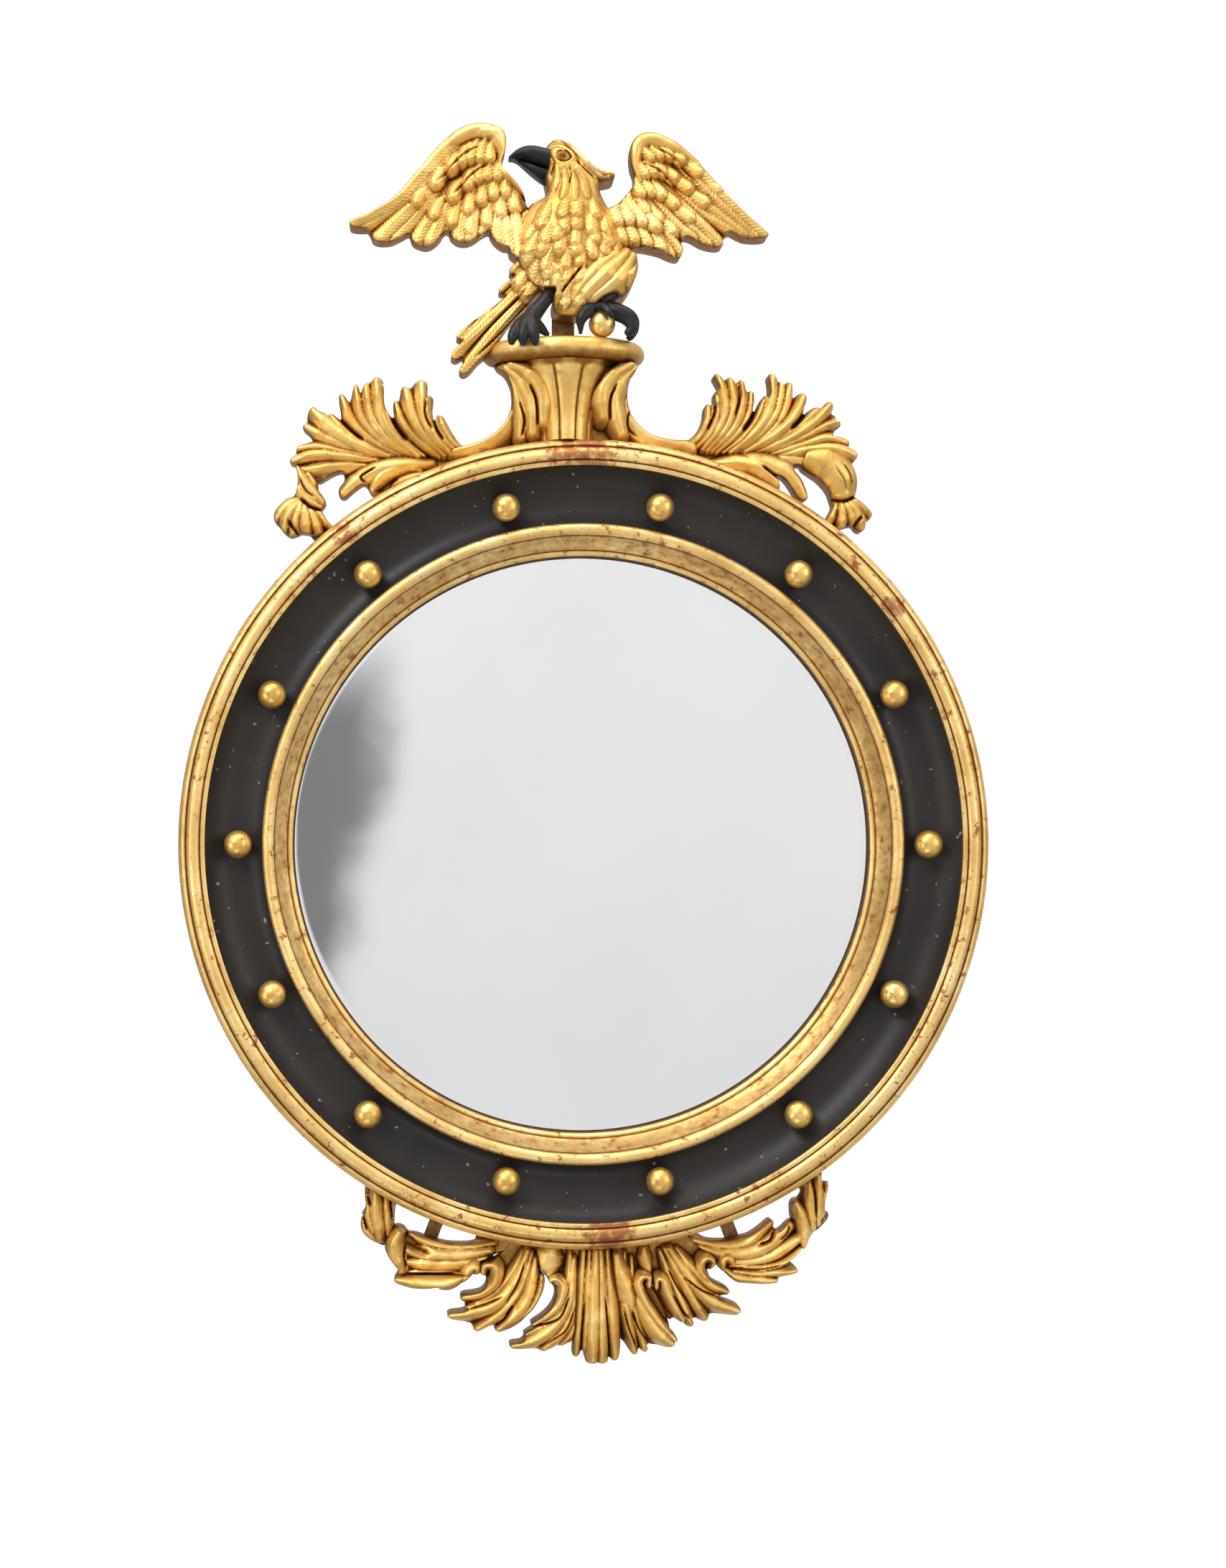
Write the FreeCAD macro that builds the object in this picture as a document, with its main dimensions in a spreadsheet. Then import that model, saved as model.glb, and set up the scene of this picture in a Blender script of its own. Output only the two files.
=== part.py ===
import FreeCAD, Part
import math
import os

import Sketcher

V = FreeCAD.Vector
doc = FreeCAD.newDocument("girandole_mirror")

# The mirror hangs on a wall. Origin: the frame's axis on the back plane. +X right, +Z up, front is -Y.
# "Depth" is the distance forward of the back plane, so a point at depth d lies at Y = -d.

# ---------------------------------------------------------------- driving dimensions (mm, degrees)
DIMENSIONS = [
    ("sight_radius", 247.0, "opening that shows the glass"),
    ("sight_mould_width", 25.4, "sight opening to the hollow"),
    ("cove_width", 47.6, "width of the black hollow"),
    ("fillet_width", 4.6, "flat fillet beside the hollow"),
    ("outer_torus_width", 11.4, "round of the outer moulding"),
    ("outer_quirk_width", 1.8, "groove between that round and the outer edge"),
    ("outer_lip_width", 5.2, "quarter round at the outer edge"),
    ("rear_inset", 25.0, "rear ring layer, in from the outside of the frame"),
    ("front_inset", 7.0, "front ring layer, in from the outside of the frame"),
    ("rear_depth", 20.0, "thickness of the rear ring layer"),
    ("front_depth", 8.0, "thickness of the front ring layer"),
    ("outer_mould_rise", 26.0, "outer moulding, front layer to its inner fillet"),
    ("outer_torus_rise", 3.2, "crown of that round"),
    ("outer_lip_drop", 2.0, "outer edge, lower than the fillet beside the hollow"),
    ("back_chamfer", 4.0, "chamfer behind the outer edge, across"),
    ("back_chamfer_depth", 7.0, "chamfer behind the outer edge, back to front"),
    ("quirk_depth", 1.6, "sharp groove between two members"),
    ("cove_outer_rise", 21.5, "front layer to the hollow's outer edge"),
    ("cove_inner_rise", 12.0, "front layer to the hollow's inner edge"),
    ("cove_sag", 13.0, "depth of the hollow below its two edges"),
    ("ball_count", 14, "balls round the hollow"),
    ("ball_radius", 12.7, "turned ball"),
    ("ball_inset", 20.2, "hollow's inner edge to the ring on which the balls sit"),
    ("ball_gap", 1.371, "room between a ball and the hollow behind it"),
    ("spigot_radius", 3.0, "spigot of a ball"),
    ("spigot_gap", 0.1, "spigot's clearance in its socket"),
    ("bead_width", 10.0, "bead of the sight moulding"),
    ("bead_base", 17.0, "front layer to the foot of the bead"),
    ("bead_rise", 3.4, "crown of the bead"),
    ("band_sag", 1.6, "hollow of the sloping band"),
    ("slip_width", 7.0, "glass slip, across"),
    ("slip_thickness", 4.0, "glass slip, front to back"),
    ("slip_lap", 3.0, "how far the sight moulding covers the slip"),
    ("glass_thickness", 4.0, "mirror plate"),
    ("glass_dome", 30.0, "height of the convex plate over its rim"),
    ("glass_rim_depth", 17.0, "front of the plate's rim"),
    ("edge_gap", 1.3, "room round the plate in the rings"),
    ("skirt_room", 4.0, "front layer's bore, wider than the rear layer's"),
    ("board_lap", 13.2, "how far the back board laps its ledge"),
    ("board_thickness", 7.0, "back board"),
    ("board_gap", 0.5, "room round the back board"),
    ("block_count", 8, "glazing blocks"),
    ("block_length", 30.0, "glazing block, along the rim"),
    ("block_width", 9.0, "glazing block, across"),
    ("seat_gap", 0.3, "fit between two curved faces"),
    ("hanger_angle", 42.0, "hangers, from the top of the frame"),
    ("pivot_inset", 8.0, "hanger pivot, in from the outside of the rear ring"),
    ("pivot_depth", 3.4, "hanger pivot, forward of the back plane"),
    ("housing_width", 34.0, "recess for a hanger"),
    ("housing_depth", 7.0, "recess for a hanger"),
    ("housing_wall", 2.0, "wood between the back board's ledge and the recess"),
    ("plate_width", 16.0, "hanger plate"),
    ("plate_thickness", 2.0, "hanger plate"),
    ("plate_foot_gap", 1.5, "room between the hanger plate and the inner end of its recess"),
    ("wire_radius", 1.5, "wire of a hanger ring"),
    ("wire_gap", 0.1, "running clearance of a hanger ring in its knuckle"),
    ("loop_half_width", 13.0, "hanger ring, wire centre to middle"),
    ("loop_arm", 6.0, "straight arm of a hanger ring"),
    ("loop_corner", 3.0, "corner radius of a hanger ring"),
    ("loop_lean", 11.5, "hanger ring at rest, leaning to the front"),
    ("strap_thickness", 2.5, "iron straps behind the carvings"),
    ("strap_width", 12.0, "iron straps"),
    ("strap_foot_gap", 4.0, "room between the rear ring and the straps"),
    ("strap_length", 46.0, "iron straps"),
    ("eagle_strap_reach", 60.2, "middle strap of the crest, above the plinth"),
    ("cap_centre", -15.5, "plinth, offset from the frame's axis"),
    ("cap_half_width", 69.5, "plinth cap, half its width"),
    ("cap_projection", 52.0, "plinth cap, back to front"),
    ("plinth_height", 83.8, "top of the plinth over the frame"),
    ("cap_thickness", 18.0, "plinth cap"),
    ("cap_round", 7.0, "rounded edge of the cap"),
    ("bell_half_width", 44.0, "plinth bell at the cap"),
    ("bell_foot_half_width", 21.0, "plinth bell at the frame"),
    ("bell_projection", 44.0, "plinth bell at the cap, back to front"),
    ("bell_foot_projection", 30.0, "plinth bell at the frame, back to front"),
    ("bell_sink", 5.0, "how far the bell runs into the frame before it is cut to it"),
    ("reed_count", 5, "reeds of the bell"),
    ("reed_rise", 2.4, "crown of a reed"),
    ("talon_ball_radius", 11.2, "ball under the talon"),
    ("talon_ball_offset", 15.0, "ball under the talon, from the frame's axis"),
    ("talon_ball_forward", 37.0, "ball under the talon, forward of the carvings' backs"),
    ("wing_lift", 6.0, "wings and tail, forward of the carvings' backs"),
]

sheet = doc.addObject("Spreadsheet::Sheet", "Dim")
for row, (alias, value, meaning) in enumerate(DIMENSIONS, start=1):
    sheet.set("A%d" % row, meaning)
    sheet.set("B%d" % row, str(value))
    sheet.setAlias("B%d" % row, alias)
doc.recompute()


def dim(expression):
    """Value of an expression in the sheet's aliases, such as dim('Dim.rear_depth + 2')."""
    value = sheet.evalExpression(expression)
    return float(getattr(value, "Value", value))


def plus(*terms):
    return " + ".join("(%s)" % term for term in terms)


def minus(first, *rest):
    return " - ".join("(%s)" % term for term in (first,) + rest)


# Depths and radii that several pieces share
FRONT_FACE = "Dim.rear_depth + Dim.front_depth"
SLIP_BACK = "Dim.glass_rim_depth"
SLIP_FRONT = "Dim.glass_rim_depth + Dim.slip_thickness"
BORE_RADIUS = "Dim.sight_radius + Dim.slip_width + Dim.seat_gap"
GLASS_RADIUS = minus(BORE_RADIUS, "Dim.edge_gap")
FRONT_BORE = plus(BORE_RADIUS, "Dim.skirt_room")
LEDGE_RADIUS = plus(BORE_RADIUS, "Dim.board_lap")
BOARD_RADIUS = minus(LEDGE_RADIUS, "Dim.board_gap")
COVE_INNER = "Dim.sight_radius + Dim.sight_mould_width"
MOULD_INNER = plus(COVE_INNER, "Dim.cove_width")
TORUS_INNER = plus(MOULD_INNER, "Dim.fillet_width")
TORUS_OUTER = plus(TORUS_INNER, "Dim.outer_torus_width")
LIP_INNER = plus(TORUS_OUTER, "Dim.outer_quirk_width")
FRAME_RADIUS = plus(LIP_INNER, "Dim.outer_lip_width")
REAR_RADIUS = minus(FRAME_RADIUS, "Dim.rear_inset")
FRONT_RADIUS = minus(FRAME_RADIUS, "Dim.front_inset")
HOUSING_FOOT = plus(LEDGE_RADIUS, "Dim.housing_wall")
PIVOT_RADIUS = minus(REAR_RADIUS, "Dim.pivot_inset")
STRAP_FOOT = plus(REAR_RADIUS, "Dim.strap_foot_gap")
CAP_TOP = plus(FRAME_RADIUS, "Dim.plinth_height")
# The balls rest just clear of the hollow, wherever its curve lies behind them
BALL_PITCH = plus(COVE_INNER, "Dim.ball_inset")
BALL_SHARE = "(Dim.ball_inset / Dim.cove_width)"
HOLLOW_RISE = ("Dim.cove_inner_rise + (Dim.cove_outer_rise - Dim.cove_inner_rise) * %s"
               " - 4 * %s * (1 - %s) * Dim.cove_sag") % ((BALL_SHARE,) * 3)
BALL_RISE = plus(HOLLOW_RISE, "Dim.ball_radius + Dim.ball_gap")
BALL_DEPTH = plus(FRONT_FACE, BALL_RISE)


# ---------------------------------------------------------------- sketch and body helpers
def origin_plane(body, role):
    return next(f for f in body.Origin.OriginFeatures if f.Role == role)


def new_sketch(body, role, facing_forward=False):
    sketch = body.newObject("Sketcher::SketchObject", body.Name + "_sketch")
    sketch.AttachmentSupport = [(origin_plane(body, role), "")]
    sketch.MapMode = "FlatFace"
    if facing_forward:
        # Turns the XY plane over, so that the sketch's second axis counts depth
        sketch.AttachmentOffset = FreeCAD.Placement(V(0, 0, 0), FreeCAD.Rotation(V(1, 0, 0), 180))
    return sketch


def bind_point(sketch, geometry, end, x_expr, y_expr):
    """Ties one sketch point to two expressions."""
    for axis, kind, expression in ((-2, "DistanceX", x_expr), (-1, "DistanceY", y_expr)):
        if expression == "0":
            sketch.addConstraint(Sketcher.Constraint("PointOnObject", geometry, end, axis))
            continue
        index = sketch.addConstraint(
            Sketcher.Constraint(kind, -1, 1, geometry, end, dim(expression)))
        sketch.setExpression("Constraints[%d]" % index, expression)


def draw_outline(sketch, outline):
    """Closed outline of straight lines between corners (x, y) in expressions."""
    count = len(outline)
    spots = [V(dim(x_expr), dim(y_expr), 0) for x_expr, y_expr in outline]
    for i in range(count):
        sketch.addGeometry(Part.LineSegment(spots[i], spots[(i + 1) % count]), False)
    for i, corner in enumerate(outline):
        sketch.addConstraint(Sketcher.Constraint("Coincident", i - 1 if i else count - 1, 2, i, 1))
        bind_point(sketch, i, 1, *corner)


def curve(first, last, rise, pieces, half_turn=50):
    """Corners of a moulding's curve from first to just before last, crowned forward by rise."""
    corners = []
    widest, lowest = math.sin(math.radians(half_turn)), math.cos(math.radians(half_turn))
    for i in range(pieces):
        turn = math.radians(half_turn * (2.0 * i / pieces - 1))
        share = (1 + math.sin(turn) / widest) / 2
        height = (math.cos(turn) - lowest) / (1 - lowest)
        radius = "(%s) * %.4f + (%s) * %.4f" % (first[0], 1 - share, last[0], share)
        depth = "(%s) * %.4f + (%s) * %.4f + (%s) * %.4f" % (
            first[1], 1 - share, last[1], share, rise, height)
        corners.append((radius, depth))
    return corners


def new_body(name):
    body = doc.addObject("PartDesign::Body", name)
    body.Label = name
    return body


def turned(name, outline):
    """A ring or disc turned about the frame's axis from an outline in (radius, depth)."""
    body = new_body(name)
    sketch = new_sketch(body, "XY_Plane", facing_forward=True)
    draw_outline(sketch, outline)
    turn = body.newObject("PartDesign::Revolution", name + "_turning")
    turn.Profile = sketch
    turn.ReferenceAxis = (sketch, ["V_Axis"])
    turn.Angle = 360
    sketch.Visibility = False
    doc.recompute()
    return body


def polar(radius, side, angle):
    """Expressions for a point at a radius and a sideways step, turned by an angle from the top."""
    x_expr = "(%s) * sin(%s * 1deg) + (%s) * cos(%s * 1deg)" % (radius, angle, side, angle)
    z_expr = "(%s) * cos(%s * 1deg) - (%s) * sin(%s * 1deg)" % (radius, angle, side, angle)
    return x_expr, z_expr


def drill(body, name, circles, depth_expr, from_depth_expr="0"):
    """Round holes from the back, each circle (x, z, radius) in expressions."""
    sketch = new_sketch(body, "XZ_Plane")
    sketch.setExpression("AttachmentOffset.Base.z", from_depth_expr)
    for x_expr, z_expr, radius_expr in circles:
        centre = V(dim(x_expr), dim(z_expr), 0)
        index = sketch.addGeometry(Part.Circle(centre, V(0, 0, 1), dim(radius_expr)), False)
        bind_point(sketch, index, 3, x_expr, z_expr)
        number = sketch.addConstraint(Sketcher.Constraint("Radius", index, dim(radius_expr)))
        sketch.setExpression("Constraints[%d]" % number, radius_expr)
    hole = body.newObject("PartDesign::Pocket", name)
    hole.Profile = sketch
    hole.setExpression("Length", depth_expr)
    hole.Reversed = True
    sketch.Visibility = False
    doc.recompute()
    return hole


def round_pattern(body, feature, name, count_expr):
    pattern = body.newObject("PartDesign::PolarPattern", name)
    pattern.Originals = [feature]
    pattern.Axis = (next(f for f in body.Origin.OriginFeatures if f.Role == "Y_Axis"), [""])
    pattern.Angle = 360
    pattern.setExpression("Occurrences", count_expr)
    body.Tip = pattern
    doc.recompute()
    return pattern


def solid_feature(name, shape):
    """A sub-part whose form is set by Part's own functions."""
    feature = doc.addObject("Part::Feature", name)
    feature.Label = name
    feature.Shape = shape
    feature.Placement = shape.Placement
    return feature


# ---------------------------------------------------------------- built-up ring and mouldings
back_ring = turned("back_ring", [
    (LEDGE_RADIUS, "0"),
    (REAR_RADIUS, "0"),
    (REAR_RADIUS, "Dim.rear_depth"),
    (BORE_RADIUS, "Dim.rear_depth"),
    (BORE_RADIUS, "Dim.board_thickness"),
    (LEDGE_RADIUS, "Dim.board_thickness"),
])


def hanger_housing(body):
    """One recess in the back of the ring, open at its outer edge, and its mirror image."""
    half = "Dim.housing_width / 2"
    sketch = new_sketch(body, "XZ_Plane")
    reach = plus(REAR_RADIUS, "10")
    draw_outline(sketch, [
        polar(HOUSING_FOOT, "-(%s)" % half, "Dim.hanger_angle"),
        polar(HOUSING_FOOT, half, "Dim.hanger_angle"),
        polar(reach, half, "Dim.hanger_angle"),
        polar(reach, "-(%s)" % half, "Dim.hanger_angle"),
    ])
    pocket = body.newObject("PartDesign::Pocket", "hanger_housing")
    pocket.Profile = sketch
    pocket.setExpression("Length", "Dim.housing_depth")
    pocket.Reversed = True
    sketch.Visibility = False
    doc.recompute()
    mirrored = body.newObject("PartDesign::Mirrored", "hanger_housing_mirrored")
    mirrored.Originals = [pocket]
    mirrored.MirrorPlane = (origin_plane(body, "YZ_Plane"), [""])
    body.Tip = mirrored
    doc.recompute()


hanger_housing(back_ring)
turned("front_ring", [
    (FRONT_BORE, "Dim.rear_depth"),
    (FRONT_RADIUS, "Dim.rear_depth"),
    (FRONT_RADIUS, FRONT_FACE),
    (FRONT_BORE, FRONT_FACE),
])

# The hollow, between two edges of different height
COVE_OUTER_DEPTH = plus(FRONT_FACE, "Dim.cove_outer_rise")
COVE_INNER_DEPTH = plus(FRONT_FACE, "Dim.cove_inner_rise")
cove_ring = turned("cove_ring", [
    (COVE_INNER, FRONT_FACE),
    (MOULD_INNER, FRONT_FACE),
] + curve((MOULD_INNER, COVE_OUTER_DEPTH), (COVE_INNER, COVE_INNER_DEPTH), "-Dim.cove_sag", 5) + [
    (COVE_INNER, COVE_INNER_DEPTH),
])
socket = drill(cove_ring, "ball_socket",
               [polar(BALL_PITCH, "0", "180 / Dim.ball_count")
                + ("Dim.spigot_radius + Dim.spigot_gap",)],
               BALL_RISE, FRONT_FACE)
round_pattern(cove_ring, socket, "ball_sockets", "Dim.ball_count")

# Outer moulding: skirt over the front ring, fillet, quirk, round, quirk, quarter round
FILLET_DEPTH = plus(FRONT_FACE, "Dim.outer_mould_rise")
LIP_DEPTH = minus(FILLET_DEPTH, "Dim.outer_lip_drop")
turned("outer_moulding", [
    (plus(MOULD_INNER, "Dim.seat_gap"), FRONT_FACE),
    (plus(FRONT_RADIUS, "Dim.seat_gap"), FRONT_FACE),
    (plus(FRONT_RADIUS, "Dim.seat_gap"), "Dim.rear_depth"),
    (minus(FRAME_RADIUS, "Dim.back_chamfer"), "Dim.rear_depth"),
    (FRAME_RADIUS, "Dim.rear_depth + Dim.back_chamfer_depth"),
    (FRAME_RADIUS, minus(LIP_DEPTH, "Dim.outer_lip_width")),
    (minus(FRAME_RADIUS, "0.3 * Dim.outer_lip_width"), minus(LIP_DEPTH, "0.3 * Dim.outer_lip_width")),
    (LIP_INNER, LIP_DEPTH),
    (TORUS_OUTER, minus(LIP_DEPTH, "Dim.quirk_depth")),
] + curve((TORUS_OUTER, LIP_DEPTH), (TORUS_INNER, FILLET_DEPTH), "Dim.outer_torus_rise", 4) + [
    (plus(TORUS_INNER, "0.3"), minus(FILLET_DEPTH, "Dim.quirk_depth")),
    (minus(TORUS_INNER, "0.3"), FILLET_DEPTH),
    (plus(MOULD_INNER, "Dim.seat_gap"), FILLET_DEPTH),
])

# Sight moulding: bead beside the hollow, quirk, sloping hollow band down to the slip
BEAD_OUTER = minus(COVE_INNER, "Dim.seat_gap")
BEAD_INNER = minus(BEAD_OUTER, "Dim.bead_width")
BEAD_DEPTH = plus(FRONT_FACE, "Dim.bead_base")
BAND_FOOT = "Dim.sight_radius + Dim.slip_width - Dim.slip_lap"
BAND_TOP = (BEAD_INNER, minus(BEAD_DEPTH, "Dim.quirk_depth"))
BAND_END = (BAND_FOOT, plus(SLIP_FRONT, "1.5"))
turned("sight_moulding", [
    (minus(FRONT_BORE, "Dim.seat_gap"), FRONT_FACE),
    (BEAD_OUTER, FRONT_FACE),
] + curve((BEAD_OUTER, BEAD_DEPTH), (BEAD_INNER, BEAD_DEPTH), "Dim.bead_rise", 4) + [
    (BEAD_INNER, BEAD_DEPTH),
] + curve(BAND_TOP, BAND_END, "-Dim.band_sag", 2) + [
    BAND_END,
    (BAND_FOOT, SLIP_FRONT),
    (minus(FRONT_BORE, "Dim.seat_gap"), SLIP_FRONT),
])

turned("glass_slip", [
    ("Dim.sight_radius", SLIP_BACK),
    ("Dim.sight_radius + Dim.slip_width", SLIP_BACK),
    ("Dim.sight_radius + Dim.slip_width", SLIP_FRONT),
    ("Dim.sight_radius + 1", SLIP_FRONT),
])


# ---------------------------------------------------------------- glass, blocks and back board
def convex_plate():
    """Mirror plate with a flat rim under the slip and a domed middle."""
    rim = dim("Dim.glass_rim_depth")
    thick = dim("Dim.glass_thickness")
    dome = dim("Dim.glass_dome")
    dome_radius = dim("Dim.sight_radius") - 0.5
    curve = (dome_radius ** 2 + dome ** 2) / (2 * dome)
    centre = V(0, -(rim + dome - curve), 0)
    flat = Part.makeCylinder(dim(GLASS_RADIUS), thick, V(0, -(rim - thick), 0), V(0, -1, 0))
    ahead = Part.makeCylinder(dome_radius + 1, dome + 2 * thick, V(0, -(rim - thick), 0), V(0, -1, 0))
    outer = Part.makeSphere(curve, centre).common(ahead)
    inner = Part.makeSphere(curve - thick, centre)
    return flat.fuse(outer).cut(inner).removeSplitter()


solid_feature("mirror_glass", convex_plate())


def about_axis(angle):
    """Placement that turns a piece from the top of the frame, clockwise seen from the front."""
    return FreeCAD.Placement(V(0, 0, 0), FreeCAD.Rotation(V(0, 1, 0), angle))


def placed(shape, placement):
    result = shape.copy()
    result.transformShape(placement.toMatrix())
    return result


def glazing_blocks():
    """Blocks that press the plate's rim against the slip."""
    length = dim("Dim.block_length")
    width = dim("Dim.block_width")
    back = dim("Dim.board_thickness")
    front = dim("Dim.glass_rim_depth - Dim.glass_thickness")
    outside = math.sqrt(dim(BORE_RADIUS) ** 2 - (length / 2) ** 2)
    block = Part.makeBox(length, front - back, width, V(-length / 2, -front, outside - width))
    count = int(dim("Dim.block_count"))
    return Part.makeCompound([placed(block, about_axis(360.0 * i / count)) for i in range(count)])


solid_feature("glazing_blocks", glazing_blocks())

back_board = new_body("back_board")
board_sketch = new_sketch(back_board, "XZ_Plane")
board_edge = board_sketch.addGeometry(Part.Circle(V(0, 0, 0), V(0, 0, 1), dim(BOARD_RADIUS)), False)
board_sketch.addConstraint(Sketcher.Constraint("Coincident", board_edge, 3, -1, 1))
board_size = board_sketch.addConstraint(Sketcher.Constraint("Radius", board_edge, dim(BOARD_RADIUS)))
board_sketch.setExpression("Constraints[%d]" % board_size, BOARD_RADIUS)
board_pad = back_board.newObject("PartDesign::Pad", "board_pad")
board_pad.Profile = board_sketch
board_pad.setExpression("Length", "Dim.board_thickness")
board_sketch.Visibility = False
doc.recompute()

# ---------------------------------------------------------------- solids with flat faces
def flat_faced(sections, closed=False, split=False):
    """Solid through polygons of equal corner count; split makes two triangles of each side face."""
    faces = []
    if not closed:
        faces = [Part.Face(Part.makePolygon(ring + ring[:1])) for ring in (sections[0], sections[-1])]
    following = sections[1:] + (sections[:1] if closed else [])
    for first, second in zip(sections, following):
        for i in range(len(first)):
            k = (i + 1) % len(first)
            corners = [first[i], first[k], second[k], second[i]]
            parts = [corners[:3], corners[2:] + corners[:1]] if split else [corners]
            faces += [Part.Face(Part.makePolygon(part + part[:1])) for part in parts]
    solid = Part.Solid(Part.Shell(faces))
    if solid.Volume < 0:
        solid.reverse()
    return solid


def ball(radius, centre, sides=16, rings=8):
    """Turned ball with flats as small as a turner leaves, its poles along Y."""
    sections = []
    for i in range(rings + 1):
        turn = math.pi * (i + 0.35 * (i == 0) - 0.35 * (i == rings)) / rings
        out, along = radius * math.sin(turn), radius * math.cos(turn)
        sections.append([centre + V(out * math.cos(2 * math.pi * (k + 0.5) / sides), along,
                                    out * math.sin(2 * math.pi * (k + 0.5) / sides)) for k in range(sides)])
    return flat_faced(sections)


# ---------------------------------------------------------------- balls in the hollow
def cove_balls():
    """Turned balls, each with the spigot that holds it in its socket."""
    centre = V(0, -dim(BALL_DEPTH), dim(BALL_PITCH))
    reach = dim("Dim.spigot_radius")
    stations = [[V(reach * math.cos(math.pi * k / 4), -depth, centre.z + reach * math.sin(math.pi * k / 4))
                 for k in range(8)] for depth in (dim(FRONT_FACE), dim(BALL_DEPTH))]
    turned_ball = ball(dim("Dim.ball_radius"), centre).fuse(flat_faced(stations)).removeSplitter()
    count = int(dim("Dim.ball_count"))
    return Part.makeCompound(
        [placed(turned_ball, about_axis(360.0 * (i + 0.5) / count)) for i in range(count)])


solid_feature("cove_balls", cove_balls())


# ---------------------------------------------------------------- hangers in the back ring
def hanger_plate():
    """Strap with a rolled knuckle, drawn at the top of the frame."""
    width = dim("Dim.plate_width")
    foot = dim(plus(HOUSING_FOOT, "Dim.plate_foot_gap"))
    pivot = dim(PIVOT_RADIUS)
    floor = dim("Dim.housing_depth")
    thick = dim("Dim.plate_thickness")
    bore = dim("Dim.wire_radius + Dim.wire_gap")
    axis_depth = dim("Dim.pivot_depth")
    strap = Part.makeBox(width, thick, pivot - foot, V(-width / 2, -floor, foot))
    knuckle = Part.makeCylinder(floor - axis_depth - 0.4, width, V(-width / 2, -axis_depth, pivot), V(1, 0, 0))
    hole = Part.makeCylinder(bore, width, V(-width / 2, -axis_depth, pivot), V(1, 0, 0))
    shape = strap.fuse(knuckle).cut(hole)
    return shape.removeSplitter()


def hanger_ring():
    """D-shaped wire ring on its pivot, drawn at the top of the frame and leaning forward."""
    wire = dim("Dim.wire_radius")
    half = dim("Dim.loop_half_width")
    arm = dim("Dim.loop_arm")
    corner = dim("Dim.loop_corner")
    bends = [(half - corner, corner, corner, -75), (half - corner, corner, corner, -15)]
    bends += [(0, arm, half, angle) for angle in range(0, 181, 15)]
    bends += [(corner - half, corner, corner, 195), (corner - half, corner, corner, 255)]
    path = [V(x + radius * math.cos(math.radians(angle)), 0, z + radius * math.sin(math.radians(angle)))
            for x, z, radius, angle in bends]
    # The bar through the knuckle lies on the pivot
    path[0].z = path[-1].z = 0
    sections = []
    for i, spot in enumerate(path):
        before = (spot - path[i - 1]).normalize()
        after = (path[(i + 1) % len(path)] - spot).normalize()
        mitre = V(before.z + after.z, 0, -before.x - after.x).normalize()
        stretch = wire / abs(V(before.z, 0, -before.x).dot(mitre))
        sections.append([spot + mitre * (stretch * math.cos(math.pi * (k + 0.5) / 4))
                         + V(0, wire * math.sin(math.pi * (k + 0.5) / 4), 0) for k in range(8)])
    ring = flat_faced(sections, closed=True)
    ring.rotate(V(0, 0, 0), V(1, 0, 0), dim("Dim.loop_lean"))
    ring.translate(V(0, -dim("Dim.pivot_depth"), dim(PIVOT_RADIUS)))
    return ring


hanger_angle = dim("Dim.hanger_angle")
for side, angle in (("left", -hanger_angle), ("right", hanger_angle)):
    solid_feature("hanger_plate_" + side, placed(hanger_plate(), about_axis(angle)))
    solid_feature("hanger_ring_" + side, placed(hanger_ring(), about_axis(angle)))


# ---------------------------------------------------------------- carving helpers
CARVING_BACK = dim("Dim.rear_depth")
# The carvings' tables count depths from their flat backs. Heights count from the top of the
# frame for the crest, from its bottom for the apron, and from the plinth's top for the eagle.
CREST = V(0, -CARVING_BACK, dim(FRAME_RADIUS))
APRON = V(0, -CARVING_BACK, -dim(FRAME_RADIUS))
PERCH = V(0, -CARVING_BACK, dim(CAP_TOP))
# Blade stations along its spine: (share of the length, share of the width, share of the rise)
STATIONS = [(0.0, 0.60, 0.85), (0.30, 1.0, 1.0), (0.62, 0.98, 0.92), (0.88, 0.66, 0.70), (1.0, 0.26, 0.45)]
RIDGE_SLOPE = 0.8


def blade(root_x, root_z, tip_x, tip_z, width, bow=0.0, rise=22.0, back=0.0, curl=0.0):
    """One carved lobe or feather: a ridged blade with a flat back along a bowed spine.

    bow is the spine's sideways height, to the left of the way from root to tip. curl brings the
    tip forward. The ridge keeps one slope, so that every face is flat.
    """
    way = V(tip_x - root_x, 0, tip_z - root_z)
    left = V(-way.z, 0, way.x).normalize()
    slope = min(RIDGE_SLOPE, rise * 1.1 / width)
    sections = []
    for share, wide, tall in STATIONS:
        centre = V(root_x, 0, root_z) + way * share + left * (4 * bow * share * (1 - share))
        half = width * wide / 2
        across = left * half
        depth = back + curl * share ** 2
        crest = depth + rise * tall
        edge = crest - slope * half
        sections.append([centre - across + V(0, -depth, 0), centre + across + V(0, -depth, 0),
                         centre + across + V(0, -edge, 0), centre + V(0, -crest, 0),
                         centre - across + V(0, -edge, 0)])
    return flat_faced(sections)


def limb(spots, sides=8):
    """A round tapering limb through (x, depth, z, radius) spots, square to its way."""
    sections = []
    for i, (x, depth, z, radius) in enumerate(spots):
        before, after = spots[max(i - 1, 0)], spots[min(i + 1, len(spots) - 1)]
        way = V(after[0] - before[0], before[1] - after[1], after[2] - before[2]).normalize()
        first = way.cross(V(0, 1, 0) if abs(way.y) < 0.9 else V(1, 0, 0)).normalize()
        second = way.cross(first)
        sections.append([V(x, -depth, z) + first * (radius * math.cos(2 * math.pi * k / sides))
                         + second * (radius * math.sin(2 * math.pi * k / sides)) for k in range(sides)])
    return flat_faced(sections, split=True)


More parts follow.
